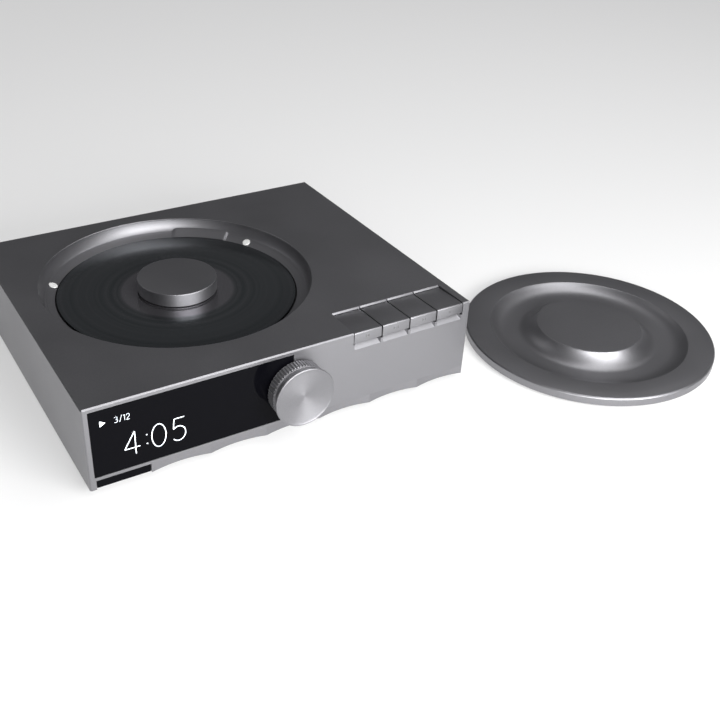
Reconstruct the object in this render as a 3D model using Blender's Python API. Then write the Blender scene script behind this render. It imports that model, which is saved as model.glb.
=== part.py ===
# A compact top-loading disc player, with its lid lifted off and laid on the table beside it.
# Metres, +Z up, +Y towards the back, +X to the player's right as seen from the front.
# The origin is the centre of the front left foot's underside, which stands on the table.

import math

import bmesh
import bpy
from mathutils import Vector

# Fits shared by all pieces
GAP = 0.0003                    # between two pieces that touch
RUNNING_GAP = 0.00025           # round a shaft or rod that turns or slides in a hole
OVERRUN = 0.002                 # how far a cut runs past the face it opens
MERGE = 0.000001
TURN = 2 * math.pi

# Disc and the well that holds it
DISC_RADIUS = 0.060
DISC_BORE_RADIUS = 0.0075
DISC_THICK = 0.0012
DISC_DROP = 0.0076              # disc's upper face below the housing's top
DISC_SIDE_GAP = 0.0008
LEDGE_WIDTH = 0.0073
WELL_LEFT_MARGIN = 0.0122       # well's rim to each side of the housing
WELL_RIGHT_MARGIN = 0.0496
WELL_FRONT_MARGIN = 0.0214
WELL_BACK_MARGIN = 0.0094
LEDGE_INNER_RADIUS = DISC_RADIUS + DISC_SIDE_GAP
WELL_RADIUS = LEDGE_INNER_RADIUS + LEDGE_WIDTH

# Housing
WIDTH = WELL_LEFT_MARGIN + WELL_RADIUS * 2 + WELL_RIGHT_MARGIN
DEPTH = WELL_FRONT_MARGIN + WELL_RADIUS * 2 + WELL_BACK_MARGIN
HEIGHT = 0.0425
WELL_FROM_LEFT = WELL_LEFT_MARGIN + WELL_RADIUS
WELL_FROM_FRONT = WELL_FRONT_MARGIN + WELL_RADIUS
TOP_THICK = 0.0056
SIDE_THICK = 0.003
FRONT_THICK = 0.007
EDGE_CHAMFER = 0.0006
CAVITY_CORNER = 0.004

# The well's wall, ledge and raised land
WELL_RIM_CHAMFER = 0.00025
WELL_FOOT_ROUND = 0.0008
WELL_STEPS = 96
LEDGE_OUTER_DROP = 0.0056
LEDGE_INNER_DROP = 0.0082
BOSS_THICK = 0.003              # wall left round the well inside the housing
BOSS_DROP = 0.0098              # underside of that wall
LAND_ANGLE = math.radians(34.5)          # middle of the raised land, from the back towards the right
LAND_HALF_ANGLE = math.radians(13.4)
LAND_BLEND_ANGLE = math.radians(2.4)
LAND_OUTER_DROP = 0.0046
LAND_INNER_DROP = 0.0078
LAND_FOOT_ROUND = 0.0026
LAND_BLEND_STEPS = 4
FOOT_ROUND_STEPS = 5

# Rests for the lid, on the ledge
PAD_RADIUS = 0.0021
PAD_INSET = 0.0051              # pad's middle to the well's wall
PAD_TOP_DROP = 0.0056           # pad's top below the housing's top
PAD_ANGLES = (math.radians(-60), math.radians(60), math.radians(180))

# Flutes and badge cell along the lower front
CELL_COUNT = 7
FLUTE_HEIGHT = 0.0048
FLUTE_DEPTH = 0.0017
CUSP_WIDTH = 0.0003
FLUTE_STEPS = 10
BADGE_MARGIN = 0.0030
BADGE_TOP = 0.0047
BADGE_DEPTH = 0.0018
BADGE_PROUD_GAP = 0.0005

# Display window
WINDOW_LEFT = 0.0025
WINDOW_BOTTOM = 0.0063
WINDOW_TOP_BORDER = 0.0021
GLASS_THICK = 0.0015
GLASS_RECESS = 0.0001
GLASS_NOTCH_RADIUS = 0.0085
MODULE_MARGIN = 0.0028          # window's edge to the display module, above and below
MODULE_SIDE_MARGIN = 0.0055
MODULE_WIDTH_SHARE = 0.73       # of the window's width
MODULE_THICK = 0.0025

# Knob and its encoder
KNOB_RADIUS = 0.0151
KNOB_LENGTH = 0.0102
KNOB_CLEARANCE = 0.0009         # knob's back to the front panel
KNOB_AXIS_HEIGHT = 0.0234
KNOB_RIM_WIDTH = 0.0008
KNOB_DISH_DEPTH = 0.0014
KNOB_WAIST_RADIUS = 0.0133
KNOB_WAIST_LENGTH = 0.0022
KNURL_RADIUS = 0.0143
KNURL_LENGTH = 0.0052
KNURL_DEPTH = 0.0006
KNURL_COUNT = 60
SHAFT_RADIUS = 0.0028
SHAFT_ENGAGEMENT = 0.0068       # length of the shaft inside the knob
BUSHING_WALL = 0.0010
ENCODER_SIDE = 0.0120
ENCODER_THICK = 0.0065
KNOB_PRESS = 0.0006             # travel of the knob when it is pressed

# Keys at the right front edge
KEY_COUNT = 4
KEY_PITCH = 0.0158
KEY_SPLIT = 0.0007              # gap between two keys
KEYS_RIGHT_MARGIN = 0.0044
KEY_LENGTH = 0.0206
KEY_SLAB = 0.0022
KEY_FRONT_DROP = 0.0002
KEY_BACK_DROP = 0.0011
KEY_SKIRT_THICK = 0.0026
KEY_SKIRT_DROP = 0.0056
KEY_TRAVEL = 0.0006
KEY_EDGE = 0.0004
SCOOP_WIDTH = 0.0146
SCOOP_HEIGHT = 0.0026
SCOOP_SLANT = 0.0013
SCOOP_LIP = 0.00001             # least height left at the scoop's inner end
STEM_RADIUS = 0.0020
STEM_FROM_FRONT = 0.0135
STEM_LENGTH = 0.0066
GUIDE_THICK = 0.0015
GUIDE_MARGIN = 0.0013
GUIDE_LEG = 0.0024
SWITCH_SIDE = 0.0052
SWITCH_HEIGHT = 0.0015
SWITCH_CLEARANCE = 0.0003       # left above a switch when its key is fully down
KEY_BOARD_THICK = 0.0012

# Base, feet and back
BASE_THICK = 0.002
FOOT_HEIGHT = 0.003
FOOT_RADIUS = 0.0075
FOOT_ROUND = 0.0008
FOOT_FROM_SIDE = 0.022
FOOT_FROM_FRONT = 0.020
FOOT_FROM_BACK = 0.018
SCREW_HEAD_RADIUS = 0.0025
SCREW_HEAD_HEIGHT = 0.0014
SCREW_SHANK_RADIUS = 0.0012
SCREW_SOCKET_RADIUS = 0.0012
SCREW_SOCKET_DEPTH = 0.0008
BASE_SCREW_INSET = 0.009
POST_RADIUS = 0.0035
BOARD_STAND = 0.004
BACK_THICK = 0.0025
BACK_INSET = 0.0004
REAR_SCREW_FROM_SIDE = 0.008
REAR_SCREW_DROP = 0.0125        # below the housing's top

# Mechanism
DECK_DROP = 0.0103
DECK_THICK = 0.002
DECK_SIDE_SHARE = 0.82          # deck's half depth, of the well's radius
DECK_END = 0.0082               # deck beyond the rods' outer holders
DECK_CORNER = 0.008
DECK_HUB_HOLE = 0.0165
SLOT_CLEARANCE = 0.0035         # slot's end beyond the turret's last place
SLOT_HALF_WIDTH = 0.0070
DAMPER_RADIUS = 0.0042
DAMPER_HEIGHT = 0.0070
DAMPER_WAIST = 0.0010
DAMPER_INSET = 0.0075           # damper's middle to the deck's edges
PLATTER_RADIUS = 0.0150
PLATTER_THICK = 0.0015
HUB_CONE_RADIUS = 0.0072
HUB_CONE_TOP_RADIUS = 0.0055
HUB_CONE_HEIGHT = 0.0026
SPINDLE_RADIUS = 0.0015
SPINDLE_DEPTH = 0.0030          # how far the spindle reaches into its motor
MOTOR_RADIUS = 0.0150
MOTOR_HEIGHT = 0.0070
ROD_RADIUS = 0.0015
ROD_ACROSS = 0.0155
ROD_DROP = 0.0165
ROD_HOLDER = 0.0040
SLED_LENGTH = 0.0160
SLED_THICK = 0.0060
SLED_INNER = 0.0235             # lens's distance from the spindle at rest
SLED_EDGE = 0.0025              # lens's last place from the disc's edge
TURRET_RADIUS = 0.0050
LENS_RADIUS = 0.0021
LENS_DROP = 0.0100
LENS_THICK = 0.0012
GEAR_MODULE = 0.0008
PINION_TEETH = 14
WHEEL_TEETH = 28
MOTOR_TEETH = 10
TOOTH_SHARE = 0.36              # tooth's thickness at the pitch line, of the pitch
TOOTH_TIP_SHARE = 0.45          # its tip, of that thickness
ADDENDUM_SHARE = 0.85           # of the module
DEDENDUM_SHARE = 1.15           # of the module
RACK_WIDTH = 0.0030
RACK_HEIGHT = 0.0032
RACK_SPARE = 0.0060             # rack's length beyond the sled's travel
WHEEL_THICK = 0.0018
AXLE_RADIUS = 0.0012
FEED_MOTOR_RADIUS = 0.0058

# Clamp puck
PUCK_RADIUS = 0.0200
PUCK_TOP_DROP = 0.0001
PUCK_EDGE = 0.0005
PUCK_FOOT_STEP = 0.0008
PUCK_FOOT_HEIGHT = 0.0007
PUCK_RECESS_RADIUS = 0.0086
PUCK_RECESS_DEPTH = 0.0046
MAGNET_THICK = 0.0016

# Lid, turned upright on the table as in use
LID_SIDE_GAP = 0.0005
LID_THICK = 0.0048
LID_EDGE = 0.0007
LID_TROUGH_RADIUS = 0.0535
LID_TROUGH_FLOOR_RADIUS = 0.0385
LID_TROUGH_DEPTH = 0.0043
LID_SHELL = 0.0015
LID_BOSS_RADIUS = 0.0285
LID_BOSS_RISE = 0.0025
LID_SHOULDER = 0.0040
LID_APART = 0.0189              # lid's edge to the housing's right side
LID_FORWARD = 0.0005            # lid's middle in front of the housing's front face
LID_CURVE_STEPS = 6

# Boards and sockets at the back
BOARD_THICK = 0.0016
MAIN_BOARD_LEFT = 0.028
MAIN_BOARD_FRONT = 0.036
MAIN_BOARD_FROM_RIGHT = 0.066
BOARDS_APART = 0.0098
CHIP_SIDE = 0.014
CHIP_HEIGHT = 0.0020
OUTPUT_BOARD_MARGIN = 0.020
OUTPUT_BOARD_DEPTH = 0.014
SOCKET_SIDE = 0.0110
SOCKET_DEPTH = 0.0110
PHONO_RADIUS = 0.0042
PHONO_REACH = 0.0080
PHONO_BORE = 0.0017
PHONO_FROM_LEFT = 0.052
PHONO_PITCH = 0.022
PHONO_COUNT = 3
OPTICAL_FROM_PHONO = 0.026
OPTICAL_SIDE = 0.0094
OPTICAL_BORE = 0.0062
OPTICAL_BORE_DEPTH = 0.0075
POWER_FROM_OPTICAL = 0.028
POWER_WIDTH = 0.0090
POWER_HEIGHT = 0.0034
POWER_WALL = 0.0004
POWER_DEPTH = 0.0078

# Steps round each kind of turned piece
FINE_STEPS = 72
ROUND_STEPS = 56
SMALL_STEPS = 28
TINY_STEPS = 12


def clear_scene():
    for thing in list(bpy.data.objects):
        bpy.data.objects.remove(thing, do_unlink=True)


def finish(name, colour, roughness, metallic):
    """One Principled material."""
    made = bpy.data.materials.new(name)
    made.use_nodes = True
    shader = made.node_tree.nodes["Principled BSDF"]
    shader.inputs["Base Color"].default_value = (*colour, 1)
    shader.inputs["Roughness"].default_value = roughness
    shader.inputs["Metallic"].default_value = metallic
    return made


def satin(name):
    return finish(name, (0.62, 0.62, 0.64), 0.38, 1)


def plastic(name):
    return finish(name, (0.02, 0.02, 0.022), 0.5, 0)


def frame(name, parent, x, y, z):
    """An empty that carries pieces at a named place."""
    empty = bpy.data.objects.new(name, None)
    bpy.context.collection.objects.link(empty)
    empty.parent = parent
    empty.location = (x, y, z)
    return empty


def place(name, shape, parent, x, y, z):
    mesh = bpy.data.meshes.new(name)
    bmesh.ops.recalc_face_normals(shape, faces=shape.faces)
    shape.to_mesh(mesh)
    shape.free()
    thing = bpy.data.objects.new(name, mesh)
    bpy.context.collection.objects.link(thing)
    thing.parent = parent
    thing.location = (x, y, z)
    return thing


def solid(name, shape, material, parent, x=0, y=0, z=0):
    thing = place(name, shape, parent, x, y, z)
    thing.data.materials.append(material)
    return thing


def tool(name, shape, parent, x=0, y=0, z=0):
    """A guide shape for a cut or a join, left out of the model."""
    thing = place(name, shape, parent, x, y, z)
    thing.hide_render = True
    thing.display_type = "WIRE"
    return thing


def combine(thing, other, operation):
    step = thing.modifiers.new(other.name, "BOOLEAN")
    step.operation = operation
    step.solver = "EXACT"
    step.object = other


def cut(thing, *others):
    for other in others:
        combine(thing, other, "DIFFERENCE")


def join(thing, *others):
    for other in others:
        combine(thing, other, "UNION")


def smooth(thing):
    thing.data.shade_smooth()
    thing.data.set_sharp_from_angle(angle=math.radians(35))


def prism(outline, axis, low, high):
    """A closed outline carried from low to high along an axis; the outline lies across that axis."""
    shape = bmesh.new()
    spots = {"X": lambda a, b: (low, a, b), "Y": lambda a, b: (a, low, b), "Z": lambda a, b: (a, b, low)}
    corners = [shape.verts.new(spots[axis](a, b)) for a, b in outline]
    face = shape.faces.new(corners)
    grown = bmesh.ops.extrude_face_region(shape, geom=[face])
    step = {"X": Vector((1, 0, 0)), "Y": Vector((0, 1, 0)), "Z": Vector((0, 0, 1))}[axis] * (high - low)
    fresh = [item for item in grown["geom"] if isinstance(item, bmesh.types.BMVert)]
    bmesh.ops.translate(shape, verts=fresh, vec=step)
    return shape


def oblong(left, bottom, right, top):
    return [(left, bottom), (right, bottom), (right, top), (left, top)]


def box(left, front, low, right, back, high):
    return prism(oblong(left, front, right, back), "Z", low, high)


def ring_points(radius, steps, across=0, up=0):
    return [(across + radius * math.cos(TURN * n / steps), up + radius * math.sin(TURN * n / steps))
            for n in range(steps)]


def rod(radius, axis, low, high, steps=SMALL_STEPS, across=0, up=0):
    return prism(ring_points(radius, steps, across, up), axis, low, high)


def rounded_oblong(left, bottom, right, top, corner, square_top=False, steps=5):
    """An oblong whose corners are quarter circles; the two upper ones can stay square."""
    points = [(right, top), (left, top)] if square_top else []
    centres = ((right - corner, top - corner, 0), (left + corner, top - corner, 1),
               (left + corner, bottom + corner, 2), (right - corner, bottom + corner, 3))
    for x, y, quarter in centres[2 * square_top:]:
        for n in range(steps + 1):
            angle = TURN / 4 * (quarter + n / steps)
            points.append((x + corner * math.cos(angle), y + corner * math.sin(angle)))
    return points


def turned(profile, steps, closed=False):
    """A profile of (radius, height) points spun once round the Z axis."""
    shape = bmesh.new()
    spots = [shape.verts.new((radius, 0, height)) for radius, height in profile]
    pairs = list(zip(spots, spots[1:] + ([spots[0]] if closed else [])))
    lines = [shape.edges.new(pair) for pair in pairs]
    bmesh.ops.spin(shape, geom=spots + lines, cent=(0, 0, 0), axis=(0, 0, 1), angle=TURN, steps=steps,
                   use_merge=True, use_duplicate=False)
    bmesh.ops.remove_doubles(shape, verts=shape.verts, dist=MERGE)
    return shape


def arc(radius, x, z, start, end, steps):
    return [(x + radius * math.cos(start + (end - start) * n / steps),
             z + radius * math.sin(start + (end - start) * n / steps)) for n in range(steps + 1)]


# The well

BOSS_RADIUS = WELL_RADIUS + BOSS_THICK


def smooth_step(value):
    value = min(max(value, 0), 1)
    return value * value * (3 - 2 * value)


def land_share(angle):
    """1 on the raised land, 0 on the open ledge, blended between over a narrow angle."""
    away = abs((angle - LAND_ANGLE + math.pi) % TURN - math.pi)
    return smooth_step((LAND_HALF_ANGLE - away) / LAND_BLEND_ANGLE + 1 / 2)


def mix(low, high, share):
    return low + (high - low) * share


def well_section(angle):
    """The well's outline at one angle, from above its rim down its wall, foot, ledge and inner edge."""
    share = land_share(angle)
    outer = mix(LEDGE_OUTER_DROP, LAND_OUTER_DROP, share)
    inner = mix(LEDGE_INNER_DROP, LAND_INNER_DROP, share)
    foot = mix(WELL_FOOT_ROUND, LAND_FOOT_ROUND, share)
    fall = math.atan2(inner - outer, WELL_RADIUS - LEDGE_INNER_RADIUS)
    points = [(WELL_RADIUS + WELL_RIM_CHAMFER + OVERRUN, OVERRUN), (WELL_RADIUS, -WELL_RIM_CHAMFER)]
    rest = foot * math.tan((math.pi / 2 - fall) / 2)
    points += arc(foot, WELL_RADIUS - foot, rest - outer, 0, fall - math.pi / 2, FOOT_ROUND_STEPS)
    points += [(LEDGE_INNER_RADIUS, -inner), (LEDGE_INNER_RADIUS, -BOSS_DROP - OVERRUN)]
    return points


def well_angles():
    """Even steps round the well, with close steps where the land's ends blend into the ledge."""
    angles = {TURN * n / WELL_STEPS for n in range(WELL_STEPS)}
    for side in (-1, 1):
        end = LAND_ANGLE + side * LAND_HALF_ANGLE
        angles = {a for a in angles if abs(a - end) > LAND_BLEND_ANGLE}
        angles |= {end + LAND_BLEND_ANGLE * (n / LAND_BLEND_STEPS - 1 / 2) for n in range(LAND_BLEND_STEPS + 1)}
    return sorted(angles)


def well_cutter():
    """The space of the well, lofted through one section at each angle and closed at top and bottom."""
    shape = bmesh.new()
    rows = []
    for angle in well_angles():
        across, along = math.sin(angle), math.cos(angle)
        rows.append([shape.verts.new((r * across, r * along, z)) for r, z in well_section(angle)])
    for row, following in zip(rows, rows[1:] + rows[:1]):
        for n in range(len(row) - 1):
            shape.faces.new((row[n], row[n + 1], following[n + 1], following[n]))
    shape.faces.new([row[0] for row in rows])
    shape.faces.new([row[-1] for row in rows][::-1])
    return shape


# The housing

CELL = WIDTH / CELL_COUNT
KEYS_RIGHT = WIDTH - KEYS_RIGHT_MARGIN
KEYS_LEFT = KEYS_RIGHT - KEY_COUNT * KEY_PITCH
KEY_REST_FLOOR = HEIGHT - KEY_SKIRT_DROP - KEY_TRAVEL - GAP
WINDOW_RIGHT = WIDTH / 2 - GAP
WINDOW_TOP = HEIGHT - WINDOW_TOP_BORDER
KNOB_X = WIDTH / 2
MODULE_LEFT = WINDOW_LEFT + MODULE_SIDE_MARGIN
MODULE_WIDTH = (WINDOW_RIGHT - WINDOW_LEFT) * MODULE_WIDTH_SHARE
MODULE_BOTTOM = WINDOW_BOTTOM + MODULE_MARGIN
MODULE_HEIGHT = WINDOW_TOP - WINDOW_BOTTOM - MODULE_MARGIN * 2
PAD_SEAT_SLOPE = (LEDGE_INNER_DROP - LEDGE_OUTER_DROP) / (WELL_RADIUS - LEDGE_INNER_RADIUS)
BUSHING_RADIUS = SHAFT_RADIUS + RUNNING_GAP + BUSHING_WALL


def housing_block():
    """Outer block, standing on its lower edge, with its top edges and upright corners chamfered."""
    block = box(0, 0, 0, WIDTH, DEPTH, HEIGHT)
    edges = [e for e in block.edges if not all(v.co.z < HEIGHT / 2 for v in e.verts)]
    bmesh.ops.bevel(block, geom=edges, offset=EDGE_CHAMFER, segments=1, profile=1 / 2, affect="EDGES")
    return block


def housing_cavity(body):
    """The space inside, open below and behind, round the wall of the well."""
    cavity = tool("housing_cavity", prism(
        rounded_oblong(SIDE_THICK, FRONT_THICK, WIDTH - SIDE_THICK, DEPTH + OVERRUN, CAVITY_CORNER, True),
        "Z", -OVERRUN, HEIGHT - TOP_THICK), body)
    boss = tool("well_boss", rod(BOSS_RADIUS, "Z", HEIGHT - BOSS_DROP, HEIGHT, FINE_STEPS,
                                 WELL_FROM_LEFT, WELL_FROM_FRONT), body)
    cut(cavity, boss)
    return cavity


def flute_cutters(body):
    """Shallow hollows with upright axes, one in each cell of the lower front but the first. Each is a parabola
    in plan, and a thin cusp is left standing between two of them."""
    outline = [(CELL, -OVERRUN)]
    chord = CELL - CUSP_WIDTH
    for cell in range(1, CELL_COUNT):
        start = CELL * cell + CUSP_WIDTH / 2
        for n in range(FLUTE_STEPS + 1):
            share = n / FLUTE_STEPS
            outline.append((start + chord * share, FLUTE_DEPTH * 4 * share * (1 - share)))
        outline.append((CELL * (cell + 1), -OVERRUN / 2))
    outline[-1] = (WIDTH + OVERRUN, -OVERRUN / 2)
    outline.append((WIDTH + OVERRUN, -OVERRUN))
    flutes = tool("flute_cut", prism(outline, "Z", -OVERRUN, FLUTE_HEIGHT), body)
    badge = tool("badge_cut", box(BADGE_MARGIN, -OVERRUN, -OVERRUN, CELL - CUSP_WIDTH, BADGE_DEPTH, BADGE_TOP), body)
    return flutes, badge


def window_cutters(body):
    recess = tool("window_cut", box(WINDOW_LEFT, -OVERRUN, WINDOW_BOTTOM, WINDOW_RIGHT,
                                    GLASS_RECESS + GLASS_THICK + GAP, WINDOW_TOP), body)
    island = tool("knob_island", rod(GLASS_NOTCH_RADIUS, "Y", 0, FRONT_THICK, SMALL_STEPS,
                                     KNOB_X, KNOB_AXIS_HEIGHT), body)
    cut(recess, island)
    opening = tool("module_cut", box(MODULE_LEFT - GAP, 0, MODULE_BOTTOM - GAP, MODULE_LEFT + MODULE_WIDTH + GAP,
                                     FRONT_THICK + OVERRUN, MODULE_BOTTOM + MODULE_HEIGHT + GAP), body)
    shaft = tool("shaft_cut", rod(BUSHING_RADIUS + GAP, "Y", -OVERRUN, FRONT_THICK + OVERRUN, SMALL_STEPS,
                                  KNOB_X, KNOB_AXIS_HEIGHT), body)
    return recess, opening, shaft


def key_cutters(body):
    """One pocket for the row of keys, through the top and down the front, and a bevelled scoop under each."""
    back = KEY_LENGTH + GAP
    shelf = HEIGHT - KEY_BACK_DROP - KEY_SLAB - KEY_TRAVEL - GAP
    side = [(-OVERRUN, KEY_REST_FLOOR), (KEY_SKIRT_THICK + GAP, KEY_REST_FLOOR), (KEY_SKIRT_THICK + GAP, shelf),
            (FRONT_THICK, shelf), (FRONT_THICK, HEIGHT - TOP_THICK - OVERRUN), (back, HEIGHT - TOP_THICK - OVERRUN),
            (back, HEIGHT + OVERRUN), (-OVERRUN, HEIGHT + OVERRUN)]
    cutters = [tool("key_pocket", prism(side, "X", KEYS_LEFT, KEYS_RIGHT), body)]
    for key in range(KEY_COUNT):
        middle = KEYS_LEFT + KEY_PITCH * (key + 1 / 2)
        cutters.append(tool(f"scoop_cut_{key + 1}", scoop(), body, middle, 0, KEY_REST_FLOOR))
    return cutters


def scoop():
    """A bevel that climbs inwards from the front face, with slanted ends."""
    shape = bmesh.new()
    half = SCOOP_WIDTH / 2
    reach = SCOOP_HEIGHT + OVERRUN
    slant = SCOOP_SLANT * reach / SCOOP_HEIGHT
    mouth = [shape.verts.new((x, y, z)) for x, y, z in (
        (-half - slant + SCOOP_SLANT, -OVERRUN, -reach), (half + slant - SCOOP_SLANT, -OVERRUN, -reach),
        (half + slant - SCOOP_SLANT, -OVERRUN, OVERRUN), (-half - slant + SCOOP_SLANT, -OVERRUN, OVERRUN))]
    inner = [shape.verts.new((x, SCOOP_HEIGHT, z)) for x, z in (
        (-half + SCOOP_SLANT, -SCOOP_LIP), (half - SCOOP_SLANT, -SCOOP_LIP),
        (half - SCOOP_SLANT, OVERRUN), (-half + SCOOP_SLANT, OVERRUN))]
    shape.faces.new(mouth)
    shape.faces.new(inner[::-1])
    for n in range(4):
        after = (n + 1) % 4
        shape.faces.new((mouth[after], mouth[n], inner[n], inner[after]))
    return shape


def pad_spot(angle):
    ring = WELL_RADIUS - PAD_INSET
    return ring * math.sin(angle), ring * math.cos(angle)


def make_housing(body, well):
    housing = solid("housing", housing_block(), satin("housing"), body)
    cut(housing, housing_cavity(body), tool("well_cut", well_cutter(), well))
    cut(housing, *flute_cutters(body), *window_cutters(body), *key_cutters(body))


def make_pads(well):
    """Round rests that stand on the sloping ledge, their undersides cut to its slope."""
    for number, angle in enumerate(PAD_ANGLES, 1):
        across, along = pad_spot(angle)
        shape = rod(PAD_RADIUS, "Z", 0, PAD_RADIUS, TINY_STEPS)
        for corner in shape.verts:
            x, y = across + corner.co.x, along + corner.co.y
            if corner.co.z > PAD_RADIUS / 2:
                corner.co.z = -PAD_TOP_DROP
            else:
                corner.co.z = GAP - LEDGE_OUTER_DROP - (WELL_RADIUS - math.hypot(x, y)) * PAD_SEAT_SLOPE
        white = finish(f"lid_pad_{number}", (0.8, 0.8, 0.8), 0.5, 0)
        solid(f"lid_pad_{number}", shape, white, well, across, along)


def make_front(body):
    """The window's glass, the display behind it and the bare insert of the first cell."""
    glass = solid("display_glass", box(WINDOW_LEFT + GAP, GLASS_RECESS, WINDOW_BOTTOM + GAP, WINDOW_RIGHT - GAP,
                                       GLASS_RECESS + GLASS_THICK, WINDOW_TOP - GAP),
                  finish("display_glass", (0.004, 0.004, 0.005), 0.05, 0), body)
    cut(glass, tool("glass_notch", rod(GLASS_NOTCH_RADIUS + GAP, "Y", -OVERRUN, FRONT_THICK, SMALL_STEPS,
                                       KNOB_X, KNOB_AXIS_HEIGHT), body))
    start = GLASS_RECESS + GLASS_THICK + GAP
    solid("display_module", box(MODULE_LEFT, start, MODULE_BOTTOM, MODULE_LEFT + MODULE_WIDTH,
                                start + MODULE_THICK, MODULE_BOTTOM + MODULE_HEIGHT), plastic("display_module"), body)
    solid("badge_insert", box(BADGE_MARGIN + GAP, BADGE_PROUD_GAP, GAP, CELL - CUSP_WIDTH - GAP, BADGE_DEPTH - GAP,
                              BADGE_TOP - GAP), plastic("badge_insert"), body)


# The knob, its shaft and encoder

KNURL_END = KNOB_CLEARANCE + KNURL_LENGTH
KNOB_FACE = KNOB_CLEARANCE + KNOB_LENGTH


def knob_shape():
    """Rings of points round the axis from the blind bore out to the face; the knurl's rings are toothed."""
    bore_end = KNOB_CLEARANCE + SHAFT_ENGAGEMENT + GAP
    bore = SHAFT_RADIUS + RUNNING_GAP
    neck = KNURL_END + KNOB_WAIST_LENGTH
    rings = [(0, bore_end, False), (bore, bore_end, False), (bore, KNOB_CLEARANCE, False),
             (KNURL_RADIUS, KNOB_CLEARANCE, True), (KNURL_RADIUS, KNURL_END, True),
             (KNOB_WAIST_RADIUS, KNURL_END, False), (KNOB_WAIST_RADIUS, neck, False),
             (KNOB_RADIUS, KNOB_FACE - KNOB_RIM_WIDTH, False), (KNOB_RADIUS, KNOB_FACE - KNOB_RIM_WIDTH / 3, False),
             (KNOB_RADIUS - KNOB_RIM_WIDTH / 3, KNOB_FACE, False), (KNOB_RADIUS - KNOB_RIM_WIDTH, KNOB_FACE, False)]
    dish = KNOB_RADIUS - KNOB_RIM_WIDTH
    rings += [(dish * share, KNOB_FACE - KNOB_DISH_DEPTH * (1 - share * share), False) for share in (3 / 4, 2 / 5)]
    rings.append((0, KNOB_FACE - KNOB_DISH_DEPTH, False))
    shape = bmesh.new()
    steps = 2 * KNURL_COUNT
    rows = []
    for radius, reach, toothed in rings:
        row = []
        for n in range(steps if radius else 1):
            angle = TURN * n / steps
            r = radius - KNURL_DEPTH * (n % 2) if toothed else radius
            row.append(shape.verts.new((r * math.cos(angle), -reach, r * math.sin(angle))))
        rows.append(row)
    for row, after in zip(rows, rows[1:]):
        for n in range(steps):
            m = (n + 1) % steps
            if len(row) == 1:
                shape.faces.new((row[0], after[n], after[m]))
            elif len(after) == 1:
                shape.faces.new((row[m], row[n], after[0]))
            else:
                shape.faces.new((row[n], after[n], after[m], row[m]))
    return shape


def make_knob(body):
    axis = frame("knob_axis", body, KNOB_X, 0, KNOB_AXIS_HEIGHT)
    smooth(solid("knob", knob_shape(), satin("knob"), axis))
    back = FRONT_THICK + GAP
    tail = back + ENCODER_THICK - KNOB_PRESS - GAP * 2
    smooth(solid("encoder_shaft", rod(SHAFT_RADIUS, "Y", -KNOB_CLEARANCE - SHAFT_ENGAGEMENT, tail - BUSHING_WALL),
                 finish("encoder_shaft", (0.5, 0.5, 0.5), 0.3, 1), axis))
    half = ENCODER_SIDE / 2
    encoder = solid("encoder", prism(oblong(-half, -half, half, half), "Y", back, back + ENCODER_THICK),
                    plastic("encoder"), axis)
    join(encoder, tool("encoder_bushing", rod(BUSHING_RADIUS, "Y", GAP, back + BUSHING_WALL), axis))
    cut(encoder, tool("encoder_bore", rod(SHAFT_RADIUS + RUNNING_GAP, "Y", -OVERRUN, tail), axis))


# The keys, their guide and switches

STEM_BOTTOM_DROP = KEY_BACK_DROP + KEY_SLAB + STEM_LENGTH
SWITCH_TOP_DROP = STEM_BOTTOM_DROP + KEY_TRAVEL + SWITCH_CLEARANCE
GUIDE_DROP = TOP_THICK + GAP
GUIDE_FRONT = FRONT_THICK + GAP
GUIDE_BACK = KEY_LENGTH + GUIDE_MARGIN * 2


def key_outline():
    """Side view of one key: a slab that falls a little towards the back, and a skirt down its front."""
    front = -KEY_FRONT_DROP
    back = -KEY_BACK_DROP
    under = back - KEY_SLAB
    return [(0, -KEY_SKIRT_DROP), (KEY_SKIRT_THICK, -KEY_SKIRT_DROP), (KEY_SKIRT_THICK, under), (KEY_LENGTH, under),
            (KEY_LENGTH, back - KEY_EDGE), (KEY_LENGTH - KEY_EDGE, back), (KEY_EDGE, front), (0, front - KEY_EDGE)]


def make_keys(body):
    half = (KEY_PITCH - KEY_SPLIT) / 2
    for key in range(KEY_COUNT):
        middle = frame(f"key_place_{key + 1}", body, KEYS_LEFT + KEY_PITCH * (key + 1 / 2), 0, HEIGHT)
        thing = solid(f"key_{key + 1}", prism(key_outline(), "X", -half, half), satin(f"key_{key + 1}"), middle)
        join(thing, tool(f"key_stem_{key + 1}", rod(STEM_RADIUS, "Z", -STEM_BOTTOM_DROP, -KEY_BACK_DROP - KEY_SLAB / 2,
                                                    TINY_STEPS, 0, STEM_FROM_FRONT), middle))


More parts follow.
